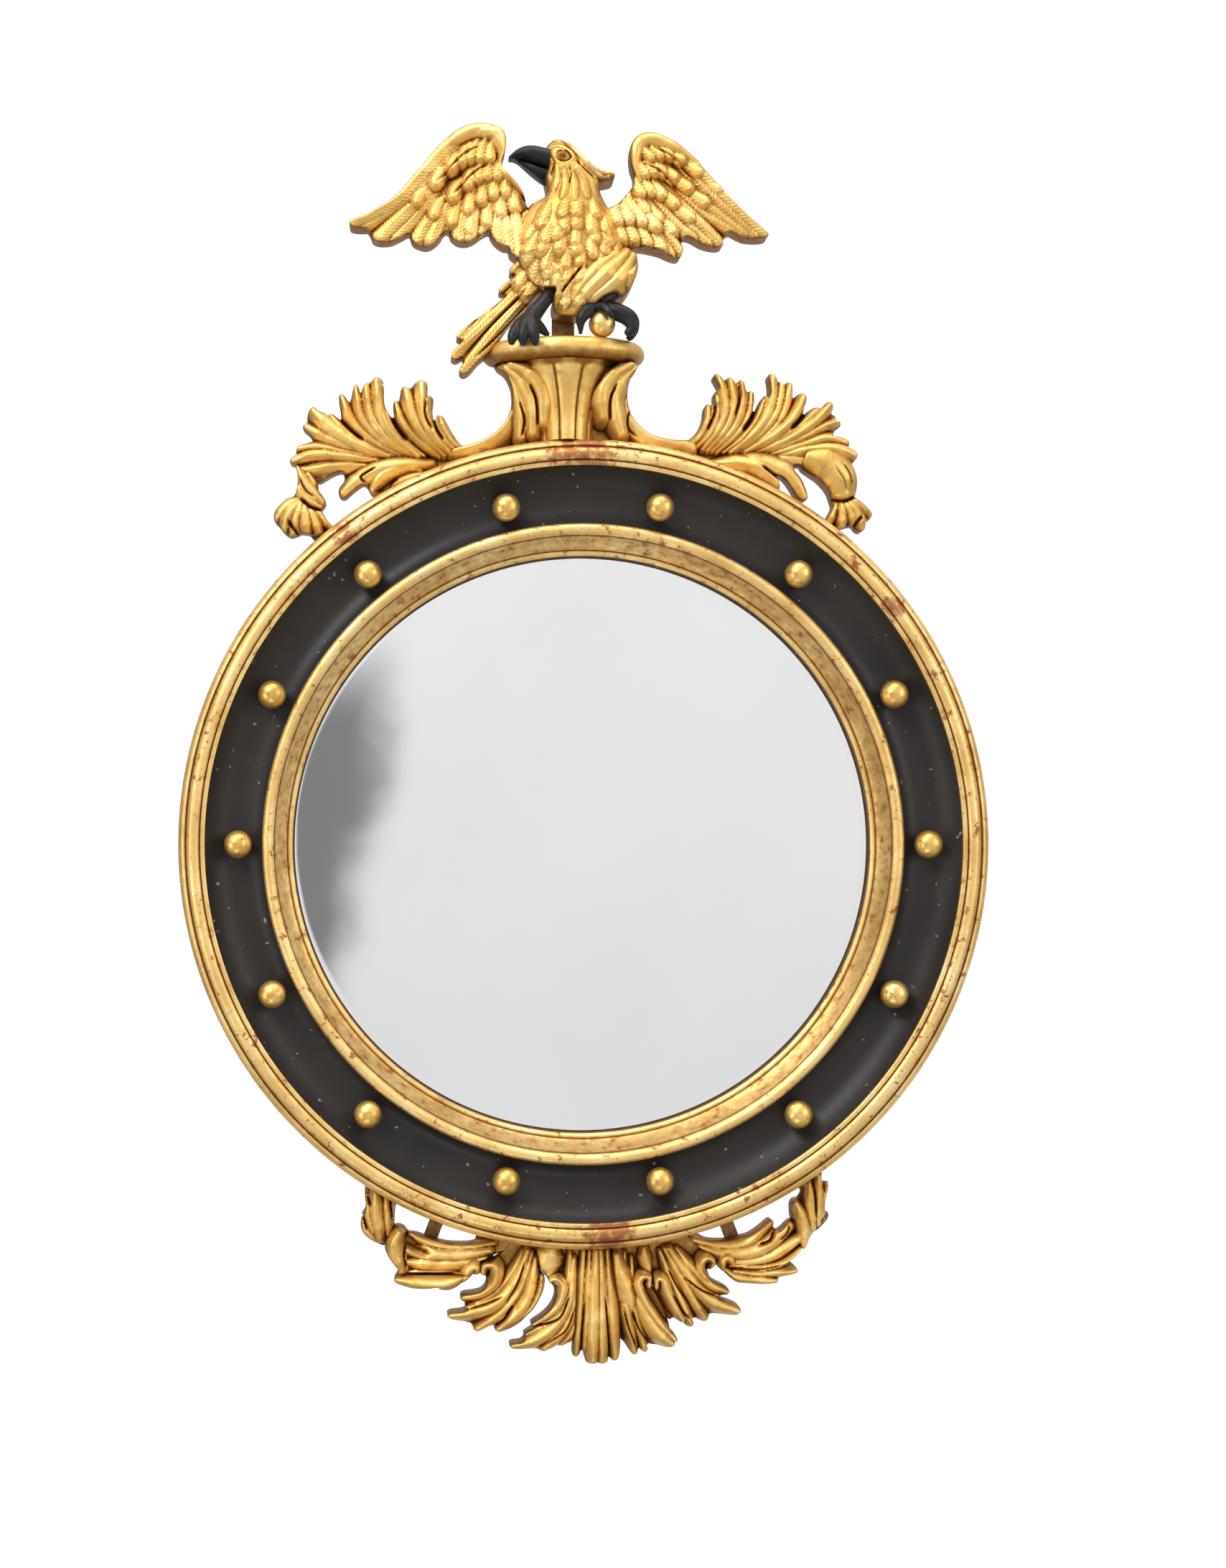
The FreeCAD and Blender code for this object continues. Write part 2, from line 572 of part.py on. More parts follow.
def joined(shapes):
    shape = shapes[0].multiFuse(shapes[1:]) if len(shapes) > 1 else shapes[0]
    return shape.removeSplitter()


def largest(shape):
    return max(shape.Solids, key=lambda solid: solid.Volume)


frame_clear = Part.makeCylinder(dim(plus(FRAME_RADIUS, "Dim.seat_gap")), 200, V(0, 50, 0), V(0, -1, 0))


def carving(name, shapes, clear_of=(), shift=CREST):
    """A carved piece, cut to its seat on the frame and to the pieces it lies against."""
    shape = joined(shapes).translated(shift).cut(frame_clear)
    for other in clear_of:
        shape = shape.cut(other.Shape)
    return solid_feature(name, largest(shape))


# ---------------------------------------------------------------- plinth
def cap_outline(inset, z):
    """Half an ellipse with its flat side on the carvings' back plane."""
    centre = V(dim("Dim.cap_centre"), -CARVING_BACK, z)
    across = dim("Dim.cap_half_width") - inset
    ahead = dim("Dim.cap_projection") - inset
    sides = 24
    return [centre + V(-across * math.cos(math.pi * k / sides), -ahead * math.sin(math.pi * k / sides), 0)
            for k in range(sides + 1)]


def plinth_cap():
    top = dim(CAP_TOP)
    thick = dim("Dim.cap_thickness")
    edge = dim("Dim.cap_round")
    return flat_faced([cap_outline(edge, top - thick), cap_outline(edge * 0.3, top - thick + edge * 0.3),
                       cap_outline(0, top - thick + edge), cap_outline(0, top - edge),
                       cap_outline(edge * 0.3, top - edge * 0.3), cap_outline(edge, top)], split=True)


cap = solid_feature("plinth_cap", plinth_cap())


def bell_section(z, half, ahead):
    """Flat back and a front of convex reeds along half an ellipse."""
    reeds = int(dim("Dim.reed_count"))
    centre = V(dim("Dim.cap_centre") + 2, -CARVING_BACK, z)
    crown = dim("Dim.reed_rise")
    corners = []
    for i in range(4 * reeds + 1):
        turn = math.pi * i / (4 * reeds)
        out = crown * (0, 0.75, 1, 0.75)[i % 4]
        corners.append(centre + V(-(half + out) * math.cos(turn), -(ahead + out) * math.sin(turn), 0))
    return corners


def plinth_bell():
    """Bell that flares in a hollow curve from the frame up to the cap."""
    foot, top = dim(minus(FRAME_RADIUS, "Dim.bell_sink")), dim(minus(CAP_TOP, "Dim.cap_thickness"))
    foot_half, top_half = dim("Dim.bell_foot_half_width"), dim("Dim.bell_half_width")
    foot_ahead, top_ahead = dim("Dim.bell_foot_projection"), dim("Dim.bell_projection")
    sections = []
    for share in (0.0, 0.45, 0.78, 1.0):
        flare = share ** 2.4
        sections.append(bell_section(foot + (top - foot) * share,
                                     foot_half + (top_half - foot_half) * flare,
                                     foot_ahead + (top_ahead - foot_ahead) * flare))
    return flat_faced(sections, split=True)


bell = carving("plinth_bell", [plinth_bell()], [cap], V(0, 0, 0))

plinth_leaf_left = carving("plinth_leaf_left", [
    blade(-62, 63, -34, 9, 19, 9, 34),
    blade(-66, 62, -44, 1, 20, 9, 30),
    blade(-70, 62, -57, -5, 24, 8, 26),
    blade(-66, 31, -112, -9, 20, 7, 22),
    blade(-64, 15, -104, -13, 20, 3, 20),
], [cap, bell])
plinth_leaf_right = carving("plinth_leaf_right", [
    blade(38, 63, 19, 10, 18, -9, 34),
    blade(42, 62, 31, -2, 19, -8, 30),
    blade(45, 61, 46, -5, 22, -7, 26),
    blade(40, 31, 94, -7, 18, -8, 22),
    blade(44, 14, 88, -13, 20, -4, 20),
], [cap, bell])

# ---------------------------------------------------------------- acanthus sprays of the crest
crest_leaf_left = carving("crest_leaf_left", [
    blade(-100, -10, -120, 18, 10, 3, 20),
    blade(-102, -12, -129, 34, 11, 4, 22),
    blade(-103, -14, -135, 48, 15, 6, 24, curl=3),
    blade(-109, -17, -152, 42, 14, 5, 23, curl=2),
    blade(-116, -18, -160, 31, 12, 4, 20),
    blade(-115, -17, -168, 33, 12, 2, 21),
    blade(-121, -20, -174, 50, 19, 6, 25, curl=3),
    blade(-128, -21, -191, 44, 14, 6, 23, curl=2),
    blade(-134, -23, -205, 36, 12, 6, 20),
    blade(-137, -23, -214, 19, 12, 4, 21),
    blade(-140, -24, -228, 24, 17, 6, 25, curl=3),
    blade(-143, -25, -236, 7, 14, 4, 23, curl=2),
    blade(-146, -25, -240, -8, 18, 0, 24, curl=3),
    blade(-150, -26, -247, -20, 22, 0, 26, curl=4),
    blade(-100, -12, -180, -25, 20, 0, 18),
    blade(-127, -27, -203, -49, 14, -9, 20),
    blade(-133, -28, -181, -43, 13, -4, 18),
    blade(-127, -28, -170, -40, 14, -3, 18),
], [plinth_leaf_left])
crest_leaf_right = carving("crest_leaf_right", [
    blade(83, -6, 105, 27, 10, -4, 20),
    blade(87, -7, 112, 39, 11, -5, 22),
    blade(95, -9, 111, 53, 14, -6, 24, curl=3),
    blade(101, -11, 123, 50, 14, -5, 24, curl=2),
    blade(107, -12, 133, 48, 14, -4, 23),
    blade(113, -13, 141, 36, 12, -3, 20),
    blade(110, -13, 150, 33, 11, -2, 21),
    blade(117, -13, 158, 53, 17, -7, 25, curl=3),
    blade(123, -13, 173, 46, 14, -7, 24, curl=2),
    blade(129, -14, 184, 35, 13, -6, 20),
    blade(132, -14, 195, 25, 12, -4, 21),
    blade(135, -15, 209, 28, 14, -5, 25, curl=3),
    blade(138, -15, 216, 14, 14, -4, 23),
    blade(141, -16, 210, 2, 12, -2, 20),
    blade(147, -17, 223, -5, 17, 0, 24, curl=3),
    blade(150, -18, 230, -16, 18, 0, 25, curl=4),
    blade(84, -7, 165, -18, 20, 2, 18),
    blade(135, -22, 188, -53, 12, 5, 20),
    blade(110, -19, 164, -43, 17, 4, 18),
], [plinth_leaf_right])
crest_drop_left = carving("crest_drop_left", [
    blade(-232, -31, -231, -59, 25, 0, 26),
    blade(-228, -34, -219, -57, 11, 0, 26),
    blade(-230, -45, -261, -67, 17, 0, 22),
    blade(-230, -46, -252, -81, 17, 0, 24),
    blade(-229, -47, -241, -84, 14, 0, 24),
    blade(-227, -47, -226, -83, 17, 0, 22),
    blade(-226, -47, -212, -77, 14, 0, 20),
], [crest_leaf_left])
crest_drop_right = carving("crest_drop_right", [
    blade(196, -13, 222, -51, 30, 7, 28),
    blade(220, -47, 241, -68, 14, 0, 22),
    blade(220, -47, 231, -79, 15, 0, 24),
    blade(218, -47, 217, -81, 16, 0, 22),
    blade(216, -47, 205, -71, 14, 0, 20),
], [crest_leaf_right])

# ---------------------------------------------------------------- eagle
def oval_body(levels, sides=20):
    """Upright body through (z, x, half width, depth, half depth) levels, with facets between them."""
    sections = []
    for z, x, half, depth, ahead in levels:
        turns = [2 * math.pi * k / sides for k in range(sides)]
        sections.append([V(x + half * math.cos(turn), -depth + ahead * math.sin(turn), z) for turn in turns])
    return flat_faced(sections, split=True)


torso = oval_body([
    (20.2, -16, 7, 26, 7), (30.2, -14, 11, 26, 11), (40.2, -12, 17, 26, 15), (51.2, -10, 27, 24, 19),
    (61.2, -8, 36, 23, 22), (72.2, -8, 43, 22, 24), (84.2, -10, 44, 22, 25), (96.2, -13, 41, 22, 25),
    (107.2, -12, 35, 23, 23), (118.2, -11, 29, 23, 21), (133.2, -11, 24, 24, 19), (145.2, -14, 21, 25, 17),
    (155.2, -17, 17, 25, 14), (162.2, -19, 11, 25, 10), (165.2, -21, 5, 25, 5)])
behind = Part.makeBox(400, 100, 400, V(-200, -CARVING_BACK, 250))
talon_radius = dim("Dim.talon_ball_radius")
talon_spot = V(dim("Dim.talon_ball_offset"), -CARVING_BACK - dim("Dim.talon_ball_forward"),
               dim(CAP_TOP) + talon_radius)
ball_piece = solid_feature("talon_ball", ball(talon_radius, talon_spot).cut(
    Part.makeBox(100, 100, 100, V(-50, -100, dim(CAP_TOP) - 100))))

LEG_LEFT = [(-24, 30, 45.2, 6), (-34, 36, 31.2, 5.5), (-44, 42, 18.2, 6), (-50, 46, 7.2, 7)]
LEG_RIGHT = [(30, 26, 49.2, 7), (26, 30, 39.2, 6.5), (22, 34, 30.2, 6)]
TOES_LEFT = [
    [(-48, 44, 15.2, 5), (-57, 50, 6.2, 5), (-62, 56, -3.8, 3.6), (-63, 56, -9.8, 1.5)],
    [(-48, 45, 14.2, 5), (-51, 54, 7.2, 5), (-52, 58.5, -3.8, 3.6), (-53, 58.5, -11.8, 1.5)],
    [(-46, 45, 14.2, 5), (-44, 54, 7.2, 5), (-43, 58.5, -3.8, 3.6), (-43, 58.5, -11.8, 1.5)],
    [(-47, 42, 15.2, 5), (-38, 36, 9.2, 4.5), (-28, 30, 1.7, 1.6)],
]
TOES_RIGHT = [
    [(22, 34, 30.2, 6), (8, 42, 23.2, 5), (-2, 44, 14.2, 4.2), (-3, 45, 3.2, 1.6)],
    [(22, 34, 30.2, 6), (33, 40, 22.2, 6), (41, 42, 13.2, 6), (36, 46, 2.2, 2)],
    [(22, 32, 30.2, 6), (36, 30, 21.2, 5), (40, 26, 10.2, 4.5), (34, 24, 2.2, 1.8)],
]

legs = {}
for side, leg, toes in (("left", LEG_LEFT, TOES_LEFT), ("right", LEG_RIGHT, TOES_RIGHT)):
    foot = joined([limb(leg)] + [limb(toe, 6) for toe in toes]).translated(PERCH)
    foot = foot.cut(cap.Shape).cut(ball_piece.Shape)
    legs[side] = solid_feature("eagle_leg_" + side, largest(foot))

BEAK = [(-30, 25, 144.2, 13), (-40, 25, 149.2, 11.5), (-50, 25, 153.2, 9), (-58, 25, 154.2, 5.5), (-63, 25, 150.2, 2)]
beak = solid_feature("eagle_beak", limb(BEAK, 8).translated(PERCH))

body_shape = joined([
    torso,
    limb([(-16, 25, 149.2, 17), (0, 25, 145.2, 13), (14, 25, 139.2, 8), (25, 25, 136.2, 3.5)]),
    limb([(28, 26, 61.2, 15), (16, 30, 47.2, 14), (0, 32, 31.2, 10), (-12, 30, 20.2, 5)]),
    limb([(-18, 28, 55.2, 15), (-26, 32, 47.2, 9), (-31, 35, 39.2, 6.5)]),
    blade(-14, 58.2, -16, 25.2, 16, -3, 34, 6),
]).translated(PERCH).cut(behind)
for piece in (beak, legs["left"], legs["right"]):
    body_shape = body_shape.cut(piece.Shape)
eagle_body = solid_feature("eagle_body", largest(body_shape))


def feathered(name, blades, clear_of):
    """Wing or tail: blades fused and cut to the pieces they are pegged to."""
    shape = joined(blades).translated(PERCH)
    for other in clear_of:
        shape = shape.cut(other.Shape)
    return solid_feature(name, largest(shape))


WING_BACK = dim("Dim.wing_lift")
feathered("eagle_wing_left", [
    blade(-46, 97.2, -79, 183.2, 34, -4, 24, WING_BACK),
    blade(-70, 176.2, -150, 130.2, 22, -8, 26, WING_BACK),
    blade(-74, 163.2, -198, 98.2, 20, -5, 20, WING_BACK),
    blade(-72, 153.2, -178, 87.2, 24, -3, 16, WING_BACK),
    blade(-72, 139.2, -143, 84.2, 16, 0, 16, WING_BACK),
    blade(-70, 133.2, -129, 80.2, 20, 0, 18, WING_BACK),
    blade(-66, 126.2, -105, 84.2, 20, 0, 18, WING_BACK),
    blade(-62, 121.2, -90, 87.2, 15, 0, 16, WING_BACK),
    blade(-66, 163.2, -100, 113.2, 40, 0, 20, WING_BACK),
    blade(-54, 118.2, -76, 82.2, 15, 0, 20, WING_BACK),
    blade(-50, 114.2, -66, 77.2, 14, 0, 20, WING_BACK),
    blade(-44, 110.2, -58, 69.2, 16, 0, 20, WING_BACK),
], [eagle_body, beak])
feathered("eagle_wing_right", [
    blade(26, 93.2, 54, 169.2, 34, 4, 24, WING_BACK),
    blade(50, 161.2, 100, 139.2, 22, 4, 26, WING_BACK),
    blade(54, 159.2, 154, 81.2, 18, 5, 20, WING_BACK),
    blade(54, 148.2, 149, 80.2, 18, 3, 18, WING_BACK),
    blade(52, 136.2, 134, 80.2, 17, 2, 18, WING_BACK),
    blade(50, 126.2, 115, 74.2, 19, 2, 19, WING_BACK),
    blade(46, 118.2, 101, 75.2, 17, 1, 18, WING_BACK),
    blade(42, 109.2, 79, 66.2, 19, 1, 20, WING_BACK),
    blade(38, 103.2, 64, 68.2, 19, 0, 20, WING_BACK),
    blade(30, 99.2, 43, 70.2, 19, 0, 20, WING_BACK),
], [eagle_body])
feathered("eagle_tail", [
    blade(-40, 61.2, -109, -13.8, 14, 0, 18, WING_BACK),
    blade(-36, 57.2, -114, -23.8, 15, 0, 20, WING_BACK),
    blade(-30, 51.2, -101, -34.8, 20, 2, 18, WING_BACK),
    blade(-42, 67.2, -106, -3.8, 14, 0, 16, WING_BACK),
    blade(-38, 71.2, -71, 37.2, 14, 0, 18, WING_BACK),
    blade(-38, 75.2, -62, 48.2, 12, 0, 18, WING_BACK),
    blade(-20, 51.2, -64, -2.8, 16, 3, 16, WING_BACK),
], [eagle_body, legs["left"], cap])

# ---------------------------------------------------------------- apron
apron_centre = carving("apron_centre", [
    blade(4, 7, -6, -89, 12, 0, 20),
    blade(11, 7, 12.5, -98, 27, 0, 28),
    blade(20, 7, 26, -91, 15, 0, 24),
    blade(-3, 7, -1, -83, 15, 0, 20),
], shift=APRON)
apron_leaf_left = carving("apron_leaf_left", [
    blade(-11, 2, -44, -60, 11, 9, 22),
    blade(-8, -7, -50, -72, 13, 9, 24, curl=2),
    blade(-5, -13, -62, -80, 13, 12, 26, curl=3),
    blade(-3, -25, -38, -84, 13, 8, 22),
    blade(-3, -33, -17, -78, 14, 4, 20),
    blade(-32, 8, -14, -31, 30, 0, 20),
], [apron_centre], APRON)
apron_lobe_left = carving("apron_lobe_left", [
    blade(-56, 2, -103, -36, 12, 7, 20),
    blade(-47, -2, -115, -53, 14, 15, 24, curl=3),
    blade(-43, -8, -90, -66, 15, 13, 26, curl=2),
    blade(-40, -15, -71, -66, 14, 9, 22),
    blade(-54, 7, -60, -51, 26, 0, 20),
], [apron_leaf_left], APRON)
apron_scroll_left = carving("apron_scroll_left", [
    blade(-66, 5, -156, 3, 36, 8, 20),
    blade(-74, -13, -159, -25, 15, 3, 24),
    blade(-160, 23, -154, -21, 17, 0, 28),
], [apron_lobe_left], APRON)
apron_end_left = carving("apron_end_left", [
    blade(-160, 3, -183, 47, 12, 4, 20),
    blade(-162, 0, -172, 53, 18, 2, 22),
    blade(-164, 0, -188, 27, 17, 3, 20),
    blade(-159, 3, -162, 49, 12, 0, 18),
], [apron_scroll_left], APRON)
apron_leaf_right = carving("apron_leaf_right", [
    blade(34, 5, 44, -88, 13, -4, 20),
    blade(40, 3, 54, -84, 14, -5, 22, curl=2),
    blade(46, 0, 73, -78, 15, -6, 26, curl=3),
    blade(50, -6, 79, -74, 13, -4, 22),
    blade(34, 7, 40, -47, 18, 0, 18),
], [apron_centre], APRON)
apron_lobe_right = carving("apron_lobe_right", [
    blade(60, 5, 90, -65, 13, -5, 22),
    blade(66, 6, 102, -59, 15, -6, 24, curl=2),
    blade(73, 7, 131, -48, 17, -9, 26, curl=3),
    blade(79, 8, 122, -33, 13, -6, 22),
    blade(58, 7, 74, -33, 24, 0, 18),
], [apron_leaf_right], APRON)
apron_scroll_right = carving("apron_scroll_right", [
    blade(84, 9, 176, -1, 26, -10, 22),
    blade(104, -8, 180, -16, 13, -3, 22),
    blade(101, -9, 163, -25, 15, -5, 24),
    blade(122, 5, 158, 27, 13, -5, 20),
], [apron_lobe_right], APRON)
apron_end_right = carving("apron_end_right", [
    blade(174, -7, 206, 32, 15, -3, 22),
    blade(172, -1, 200, 63, 22, -2, 22),
    blade(170, 3, 180, 45, 13, -2, 20),
    blade(176, -3, 206, 57, 14, -4, 20),
], [apron_scroll_right], APRON)


# ---------------------------------------------------------------- iron straps behind the carvings
def straps(name, angles, centre_length=0.0, centre_offset=0.0):
    """Flat iron straps from the overhanging back of the front ring out to each carving."""
    width = dim("Dim.strap_width")
    thick = dim("Dim.strap_thickness")
    foot = dim(STRAP_FOOT)
    length = dim("Dim.strap_length")
    blank = Part.makeBox(width, thick, length, V(-width / 2, -CARVING_BACK, foot))
    pieces = [placed(blank, about_axis(angle)) for angle in angles]
    if centre_length:
        pieces.append(Part.makeBox(width * 1.6, thick, centre_length,
                                   V(centre_offset - width * 0.8, -CARVING_BACK, foot)))
    return solid_feature(name, Part.makeCompound(pieces))


eagle_strap = dim(minus(plus(CAP_TOP, "Dim.eagle_strap_reach"), STRAP_FOOT))
straps("crest_straps", (-40.3, -23.0, 22.5, 38.2), eagle_strap, dim("Dim.cap_centre"))
straps("apron_straps", (178.0, 187.0, 193.0, 201.0, 209.8, 171.8, 166.5, 159.0, 146.0))

# ---------------------------------------------------------------- checks and export
doc.recompute()
pieces = [item for item in doc.Objects
          if item.isDerivedFrom("PartDesign::Body") or item.TypeId == "Part::Feature"]
for item in doc.Objects:
    if "Invalid" in item.State or "Error" in item.State:
        raise RuntimeError("%s failed: %s" % (item.Name, item.State))
for item in pieces:
    if item.Shape.isNull() or not item.Shape.isValid():
        raise RuntimeError("%s has no valid shape" % item.Label)

os.makedirs("parts", exist_ok=True)
for item in pieces:
    item.Shape.exportStep("parts/%s.step" % item.Label)
    box = item.Shape.BoundBox
    print("%-20s %2d solids %9.0f mm3  X %6.1f..%6.1f  Y %6.1f..%6.1f  Z %6.1f..%6.1f" % (
        item.Label, len(item.Shape.Solids), item.Shape.Volume,
        box.XMin, box.XMax, box.YMin, box.YMax, box.ZMin, box.ZMax))
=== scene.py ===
import math

import bmesh
import bpy
import numpy as np
from mathutils import Matrix, Vector


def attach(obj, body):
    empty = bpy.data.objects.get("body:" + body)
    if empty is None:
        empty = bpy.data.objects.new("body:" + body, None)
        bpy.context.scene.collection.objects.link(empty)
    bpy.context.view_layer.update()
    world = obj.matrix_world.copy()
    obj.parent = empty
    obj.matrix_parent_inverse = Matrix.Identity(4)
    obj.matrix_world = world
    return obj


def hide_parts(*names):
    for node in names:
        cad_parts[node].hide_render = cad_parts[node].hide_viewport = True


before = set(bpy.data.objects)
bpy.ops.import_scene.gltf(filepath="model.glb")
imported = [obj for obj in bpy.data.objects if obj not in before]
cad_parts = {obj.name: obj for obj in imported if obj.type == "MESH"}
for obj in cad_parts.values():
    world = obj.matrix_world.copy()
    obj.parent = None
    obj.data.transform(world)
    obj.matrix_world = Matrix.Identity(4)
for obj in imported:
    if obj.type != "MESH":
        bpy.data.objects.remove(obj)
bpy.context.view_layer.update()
scene = bpy.context.scene

# ---- Camera, floor and light -------------------------------------------------------------
# The mirror hangs at eye height, seen square on from two metres, a little to the left of its
# middle. A pale floor lies below it, and large soft lamps stand round it.
camera_data = bpy.data.cameras.new("camera")
camera_data.lens = 54.5
camera_data.sensor_width = 36.0
camera_data.shift_x = 0.1304
camera_data.shift_y = 0.0385
camera = bpy.data.objects.new("camera", camera_data)
camera.location = (-0.148, -2.056, 0.0)
camera.rotation_euler = (math.pi / 2, 0, 0)
scene.collection.objects.link(camera)
scene.camera = camera
scene.view_settings.view_transform = "Standard"
scene.view_settings.look = "None"


def plug(tree, target, inputs):
    """Links or sets inputs of a node, by name or number."""
    for key, value in inputs:
        if isinstance(value, bpy.types.NodeSocket):
            tree.links.new(value, target.inputs[key])
        else:
            target.inputs[key].default_value = value
    return target


def node(tree, kind, inputs=(), **settings):
    """A new shader node with its settings and inputs."""
    made = tree.nodes.new(kind)
    for key, value in settings.items():
        setattr(made, key, value)
    return plug(tree, made, inputs)


def noise(tree, place, scale, detail=2.0, roughness=0.5):
    """Clouds over a place, their scale per metre."""
    return node(tree, "ShaderNodeTexNoise", [
        (0, place), ("Scale", scale), ("Detail", detail), ("Roughness", roughness)]).outputs[0]


def ramp(tree, value, *stops):
    """Colours that blend along a value, each stop a place and a colour."""
    made = node(tree, "ShaderNodeValToRGB", [(0, value)])
    elements = made.color_ramp.elements
    while len(elements) < len(stops):
        elements.new(0.5)
    for element, (place, colour) in zip(elements, stops):
        element.position = place
        element.color = (*colour, 1)
    return made.outputs[0]


def grey(level):
    return (level, level, level)


def mix(tree, share, first, second, **settings):
    """A blend of a colour with a second one, which may be a socket."""
    second = second if isinstance(second, bpy.types.NodeSocket) else (*second, 1)
    return node(tree, "ShaderNodeMix", [("Factor", share), (6, first), (7, second)],
                data_type="RGBA", **settings).outputs[2]


def maths(tree, operation, *values):
    """A sum, product or the like of sockets and numbers."""
    return node(tree, "ShaderNodeMath", enumerate(values), operation=operation).outputs[0]


def spread(tree, value, low, high, first=0.0, last=1.0, way="LINEAR"):
    """A value from first to last, spread over low to high."""
    return node(tree, "ShaderNodeMapRange", enumerate((value, first, last, low, high)),
                interpolation_type=way).outputs[0]


def surface(tree, colour, roughness, metallic=0.0, specular=0.5, bump=None):
    """Sets the main shader, and its bump from a height socket, a strength and a distance."""
    shader = tree.nodes["Principled BSDF"]
    plug(tree, shader, [("Base Color", colour), ("Roughness", roughness), ("Metallic", metallic),
                        ("Specular IOR Level", specular)])
    if bump:
        made = node(tree, "ShaderNodeBump", zip(("Height", "Strength", "Distance"), bump))
        tree.links.new(made.outputs[0], shader.inputs["Normal"])


def new_material(name):
    """A material with its main shader only, its node tree, and the object's own place."""
    material = bpy.data.materials.new(name)
    material.use_nodes = True
    place = node(material.node_tree, "ShaderNodeTexCoord").outputs["Object"]
    return material, material.node_tree, place


floor_mesh = bpy.data.meshes.new("floor")
floor_mesh.from_pydata([(x, y, -0.85) for x, y in ((-1.6, -1.5), (1.6, -1.5), (1.6, 0.42), (-1.6, 0.42))],
                       [], [(0, 1, 2, 3)])
floor = bpy.data.objects.new("floor", floor_mesh)
scene.collection.objects.link(floor)
floor_material, floor_tree, _ = new_material("pale_floor")
surface(floor_tree, (0.86, 0.855, 0.84, 1), 0.7)
floor_mesh.materials.append(floor_material)
floor.visible_glossy = False

world = bpy.data.worlds.new("studio")
scene.world = world
world.use_nodes = True
studio = world.node_tree
studio.nodes.clear()
direction = node(studio, "ShaderNodeTexCoord").outputs["Generated"]
split = node(studio, "ShaderNodeSeparateXYZ", [(0, direction)])
sideways, upward = split.outputs["X"], split.outputs["Z"]
side = ramp(studio, spread(studio, sideways, 0, 1, -1, 1), (0.0, (0.40, 0.40, 0.41)),
            (0.18, (0.85, 0.85, 0.855)), (0.30, grey(1)), (0.82, grey(1)), (1.0, grey(0.45)))
height = ramp(studio, spread(studio, upward, 0, 1, -1, 1), (0.0, (0.30, 0.28, 0.25)),
              (0.20, grey(0.92)), (0.5, grey(0.98)), (1.0, grey(1.1)))
room = mix(studio, 1.0, side, height, blend_type="MULTIPLY")
# A dark doorway at the far left, with soft uneven sides, is what the old plate shows at its edge
lean = maths(studio, "MULTIPLY_ADD", upward, -0.18, sideways)
edge = maths(studio, "MULTIPLY_ADD", noise(studio, direction, 5.0, 3.0), 0.16, lean)
across = spread(studio, edge, 1, 0, -0.355, -0.225, "SMOOTHERSTEP")
below_lintel = spread(studio, upward, 1, 0, 0.24, 0.46, "SMOOTHSTEP")
above_sill = spread(studio, upward, 0, 1, -0.42, -0.30, "SMOOTHSTEP")
doorway = maths(studio, "MULTIPLY", across, maths(studio, "MULTIPLY", below_lintel, above_sill))
room = mix(studio, doorway, room, (0.27, 0.27, 0.275))
# The camera itself sees plain white behind the mirror
room_light = node(studio, "ShaderNodeBackground", [(0, room), (1, 0.86)]).outputs[0]
white = node(studio, "ShaderNodeBackground", [(0, (1, 1, 1, 1)), (1, 1.0)]).outputs[0]
seen = node(studio, "ShaderNodeLightPath").outputs["Is Camera Ray"]
mixed = node(studio, "ShaderNodeMixShader", enumerate((seen, room_light, white)))
node(studio, "ShaderNodeOutputWorld", [(0, mixed.outputs[0])])


def soft_lamp(name, place, target, width, height, watts):
    """A large soft box that looks at a point."""
    lamp = bpy.data.lights.new(name, "AREA")
    lamp.shape = "RECTANGLE"
    lamp.size, lamp.size_y = width, height
    lamp.energy = watts
    holder = bpy.data.objects.new(name, lamp)
    holder.location = place
    holder.rotation_euler = (Vector(target) - Vector(place)).to_track_quat("-Z", "Y").to_euler()
    scene.collection.objects.link(holder)


soft_lamp("key_lamp", (-1.5, -1.7, 1.9), (0, 0, 0.1), 1.1, 1.1, 44)
soft_lamp("right_lamp", (2.2, -1.5, 0.7), (0, 0, 0), 0.8, 1.6, 14)
soft_lamp("top_lamp", (0.1, -0.6, 2.2), (0, 0, 0.2), 1.4, 0.5, 16)
soft_lamp("left_lamp", (-2.3, -1.3, -0.3), (0, 0, 0), 0.8, 1.4, 14)
soft_lamp("low_lamp", (-0.5, -1.3, -2.0), (0, 0, -0.1), 1.2, 0.5, 8)


# ---- Rear ring, back board and glazing blocks ---------------------------------------------
# A ring of softwood segments with a ledge for a thin softwood board. Small blocks press the
# glass forward. The board is held by countersunk screws round its edge.
def softwood(name, light, dark, grain_turn):
    """Unfinished softwood with a thin old wash: long grain, darker late wood, dust."""
    material, tree, place = new_material(name)
    turned = node(tree, "ShaderNodeMapping", [
        (0, place), ("Rotation", (0, grain_turn, 0)), ("Scale", (6, 60, 90))]).outputs[0]
    grain = noise(tree, turned, 1.4, 6.0)
    colour = ramp(tree, grain, (0.3, dark), (0.55, light), (0.8, dark))
    dirty = mix(tree, noise(tree, place, 14.0, 4.0), colour, [c * 0.6 for c in dark])
    surface(tree, dirty, 0.72, bump=(grain, 0.25, 0.0006))
    return material


def finish_nodes(material, *names):
    """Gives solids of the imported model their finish."""
    for name in names:
        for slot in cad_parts[name].material_slots:
            slot.material = material


